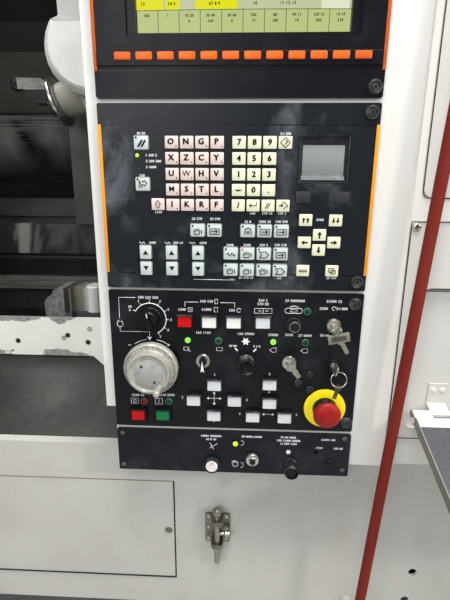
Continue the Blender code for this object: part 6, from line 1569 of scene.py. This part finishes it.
def hangingRing(x, depth, z, radius):
    deselect()
    bpy.ops.mesh.primitive_torus_add(
        major_radius=radius, minor_radius=0.0007, major_segments=40, minor_segments=8,
        location=at(x, depth, z), rotation=(math.radians(80), 0, 0),
    )
    return bpy.context.object


def hangingBlade(name, x, depth, z, size, lean, body="machine", finish="keySteel"):
    # a flat key that hangs from its top end and leans to one side
    width, length = size
    bow = turned([(-0.0010, width * 0.9), (0.0010, width * 0.9)], (0, 0, 0), toOperator, 24)
    blade = block((-width / 2, -0.0009, -length), (width / 2, 0.0009, -width * 0.5), 0.0004, 1)
    key = joined([bow, blade])
    key.rotation_euler = (math.radians(4), math.radians(lean), 0)
    key.location = at(x, depth, z)
    dress(key, name, finish, body)


def hangingKeys():
    # spare keys and a tag under the program switch, a ring and a key under the setup switch
    rings = [hangingRing(0.1507, -0.024, 1.1010, 0.0112), hangingRing(0.1430, -0.026, 1.1740, 0.0055)]
    dress(joined(rings), "keyRings", "nickel")
    for name, x, z, front, back, finish in (
        ("keyTag", 0.0150, 0.0068, -0.0011, 0.0011, "tag"),
        ("keyTagInset", 0.0105, 0.0036, -0.0014, -0.0009, "tagInset"),
    ):
        tag = block((-x, front, -z), (x, back, z))
        tag.rotation_euler = (math.radians(6), math.radians(-13), 0)
        tag.location = at(0.1455, -0.026, 1.1640)
        dress(tag, name, finish)
    hangingBlade("spareKey", 0.1495, -0.023, 1.1590, (0.0060, 0.0215), -30)
    hangingBlade("clampKeyBlade", 0.0815, -0.030, 1.1215, (0.0074, 0.0205), -36, "tool_clamp_key")
    hangingBlade("ringKey", 0.1505, -0.024, 1.0885, (0.0056, 0.0185), 14, finish="brass")
    print("keys hung")


# Machine surfaces near the operator


frontDepths = {"bolt": 0.008, "hinge": 0.0157, "latch": 0.0417, "turnScrew": 0.045, "inside": 0.25}

frontScrews = {
    "panel": [(-0.174, 0.9905), (-0.175, 0.934), (0.1726, 0.9915), (0.1734, 0.936)],
    "latch": [(x, z) for x in (-0.0415, -0.0105) for z in (0.7555, 0.7785, 0.8015)],
    "hinge": [(start + step - consoleX, 1.0700) for start in (0.982, 1.295) for step in (0.0354, 0.0494)],
}


def dressFront():
    bolt = [(-0.0005, 0.0058), (0.0018, 0.0058), (0.0030, 0.0048), (0.0033, 0.0036), (0.0018, 0.0034)]
    socket = [(-0.0005, 0.0036), (0.0016, 0.0036), (0.0017, 0.0003)]
    centre = at(0.247, frontDepths["bolt"], 1.315)
    knob("coverBolt", bolt, centre, "nickel", 32)
    knob("coverBoltSocket", socket, centre, "legend", 6)
    rivet = [(-0.0005, 0.0046), (0.0006, 0.0046), (0.0014, 0.0034), (0.0017, 0.0018), (0.0018, 0.0003)]
    small = [
        (-0.0005, 0.0034), (0.0012, 0.0034), (0.0018, 0.0027), (0.0018, 0.0016), (0.0008, 0.0013),
        (0.0008, 0.0003),
    ]
    pan = [(-0.0005, 0.0032), (0.0006, 0.0032), (0.0013, 0.0022), (0.0015, 0.0003)]
    for name, form, kind, depth, finish, sides in (
        ("hingeBolts", rivet, "hinge", frontDepths["hinge"], "cabinet", 24),
        ("panelScrews", small, "panel", 0, "latchSteel", 20),
        ("latchScrews", pan, "latch", frontDepths["latch"], "nickel", 20),
    ):
        studs(name, form, [at(x, depth, z) for x, z in frontScrews[kind]], finish, sides)
    turn = [(-0.0005, 0.0066), (0.0026, 0.0066), (0.0036, 0.0056), (0.0036, 0.0003)]
    knob("turnScrew", turn, at(-0.114, frontDepths["turnScrew"], 0.768), "latchSteel", 24, "access_door")
    drawSeams()
    print("front dressed")


seams = {
    "upperCover": {"left": 0.9648, "low": 1.3538, "high": 1.990, "corner": 0.008},
    "rightCover": {"left": 0.9537, "low": 0.9912, "high": 1.3225, "corner": 0.004},
    "recess": {"left": 0.980, "right": 1.385, "top": 1.230},
    "accessDoor": {"left": -0.050, "right": 0.611, "low": 0.661, "high": 0.869, "footGap": 0.030},
    "edge": 1.410,  # right end of both covers
}


def seamRoute(cover):
    # down the left side, round the lower corner and along the bottom
    left, low, corner = cover["left"] - consoleX, cover["low"], cover["corner"]
    right = seams["edge"] - consoleX
    return [(left, cover["high"]), *arc(left + corner, low + corner, corner, 180, 270, 6), (right, low)]


def levelLine(left, right, height):
    return [(left - consoleX, height), (right - consoleX, height)]


def drawSeams():
    upper, cover = seams["upperCover"], seams["rightCover"]
    door, recess = seams["accessDoor"], seams["recess"]
    top = levelLine(cover["left"], seams["edge"], cover["high"])
    shade = levelLine(recess["left"] + 0.0045, recess["right"] - 0.0045, recess["top"] - 0.0036)
    side = [(door["right"] - consoleX, door["high"]), (door["right"] - consoleX, door["low"])]
    foot = levelLine(door["right"], door["left"] + door["footGap"], door["low"])
    head = levelLine(door["left"], door["right"], door["high"])
    for name, lines, depth, width, finish in (
        ("upperCoverSeam", [seamRoute(upper)], 0.0100, 0.0013, "seam"),
        ("rightCoverSeam", [seamRoute(cover), top], 0.0074, 0.0014, "seam"),
        ("recessShade", [shade], 0.0166, 0.0066, "recessShade"),
        ("doorSeamSide", [side], 0.0446, 0.0022, "seam"),
        ("doorSeamFoot", [foot], 0.0446, 0.0032, "seam"),
        ("doorSeamTop", [head], 0.0448, 0.0012, "rustSeam"),
    ):
        strokes(name, lines, depth, width, finish)


beamHoles = [(-0.4689, 1.0466), (-0.3590, 1.0613), (-0.3162, 1.0463)]
beamPlugs = [(-0.3680, 1.0550), (-0.3107, 1.0760)]


def dressInside():
    holes, plugs = ([at(x, frontDepths["inside"], z) for x, z in spots] for spots in (beamHoles, beamPlugs))
    stain = [(-0.0004, 0.0062), (0.0002, 0.0058), (0.0003, 0.0002)]
    hole = [(-0.0004, 0.0040), (0.0005, 0.0040), (0.0006, 0.0002)]
    ring = [(-0.0004, 0.0052), (0.0006, 0.0050), (0.0007, 0.0036), (0.0004, 0.0034)]
    cap = [(-0.0004, 0.0036), (0.0005, 0.0034), (0.0006, 0.0002)]
    for name, form, spots, finish in (
        ("beamStains", stain, holes, "rust"), ("beamHoles", hole, holes, "legend"),
        ("beamPlugRings", ring, plugs, "rust"), ("beamPlugs", cap, plugs, "plug"),
    ):
        studs(name, form, spots, finish, 20)
    print("inside dressed")


millingHead = {"spot": (0.3205, 1.712), "depth": 0.717, "offset": -0.057, "tilt": 18.6}
headSleeve = [(0.0005, 0.0624), (0.0645, 0.0626), (0.0700, 0.0613), (0.1130, 0.0488), (0.1300, 0.0484)]


def alongHead(along):
    # a point on the spindle's axis, which lies beside the head's swivel
    (x, z), tilt, across = millingHead["spot"], math.radians(millingHead["tilt"]), millingHead["offset"]
    x = x - math.cos(tilt) * along - math.sin(tilt) * across
    z = z - math.sin(tilt) * along + math.cos(tilt) * across
    return Vector((x, faceY + millingHead["depth"], z))


def dressSpindle():
    steps = [
        (-0.0002, 0.0630), (0.0020, 0.0672), (0.0040, 0.0692), (0.0060, 0.0698), (0.0110, 0.0698),
        (0.0135, 0.0688), (0.0155, 0.0650), (0.0162, 0.0600), (0.0162, 0.0560), (0.0140, 0.0540),
        (0.0140, 0.0480), (0.0190, 0.0440), (0.0210, 0.0400), (0.0345, 0.0322), (0.0345, 0.0003),
    ]
    tilt = math.radians(millingHead["tilt"])
    axis = (-math.cos(tilt), 0, -math.sin(tilt))
    for name, form, along, finish, body in (
        ("spindleNose", steps, 0.1515, "chrome", "milling_spindle"),
        ("headSleeve", headSleeve, 0.020, "headCasting", "milling_head"),
    ):
        dress(turned(form, alongHead(along), axis, 96), name, finish, body)
    insert = block(at(-0.6590, 0.7005, 1.6385), at(-0.6400, 0.7335, 1.6712), 0.0015)
    screw = [(-0.0005, 0.0062), (0.0010, 0.0062), (0.0016, 0.0050), (0.0008, 0.0040), (0.0008, 0.0003)]
    screw = turned(screw, at(-0.6495, 0.7005, 1.6548), toOperator, 24)
    dress(joined([insert, screw]), "cuttingInsert", "insert", "milling_spindle")
    print("spindle dressed")


placeCamera()
makeHose()
paintNodes()
dressKeyboard()
dressDisplay()
printMarks()
dressOperation()
dressHandwheel()
hangingKeys()
captiveScrews()
dressFront()
dressInside()
dressSpindle()
layFloor()
placeLights()
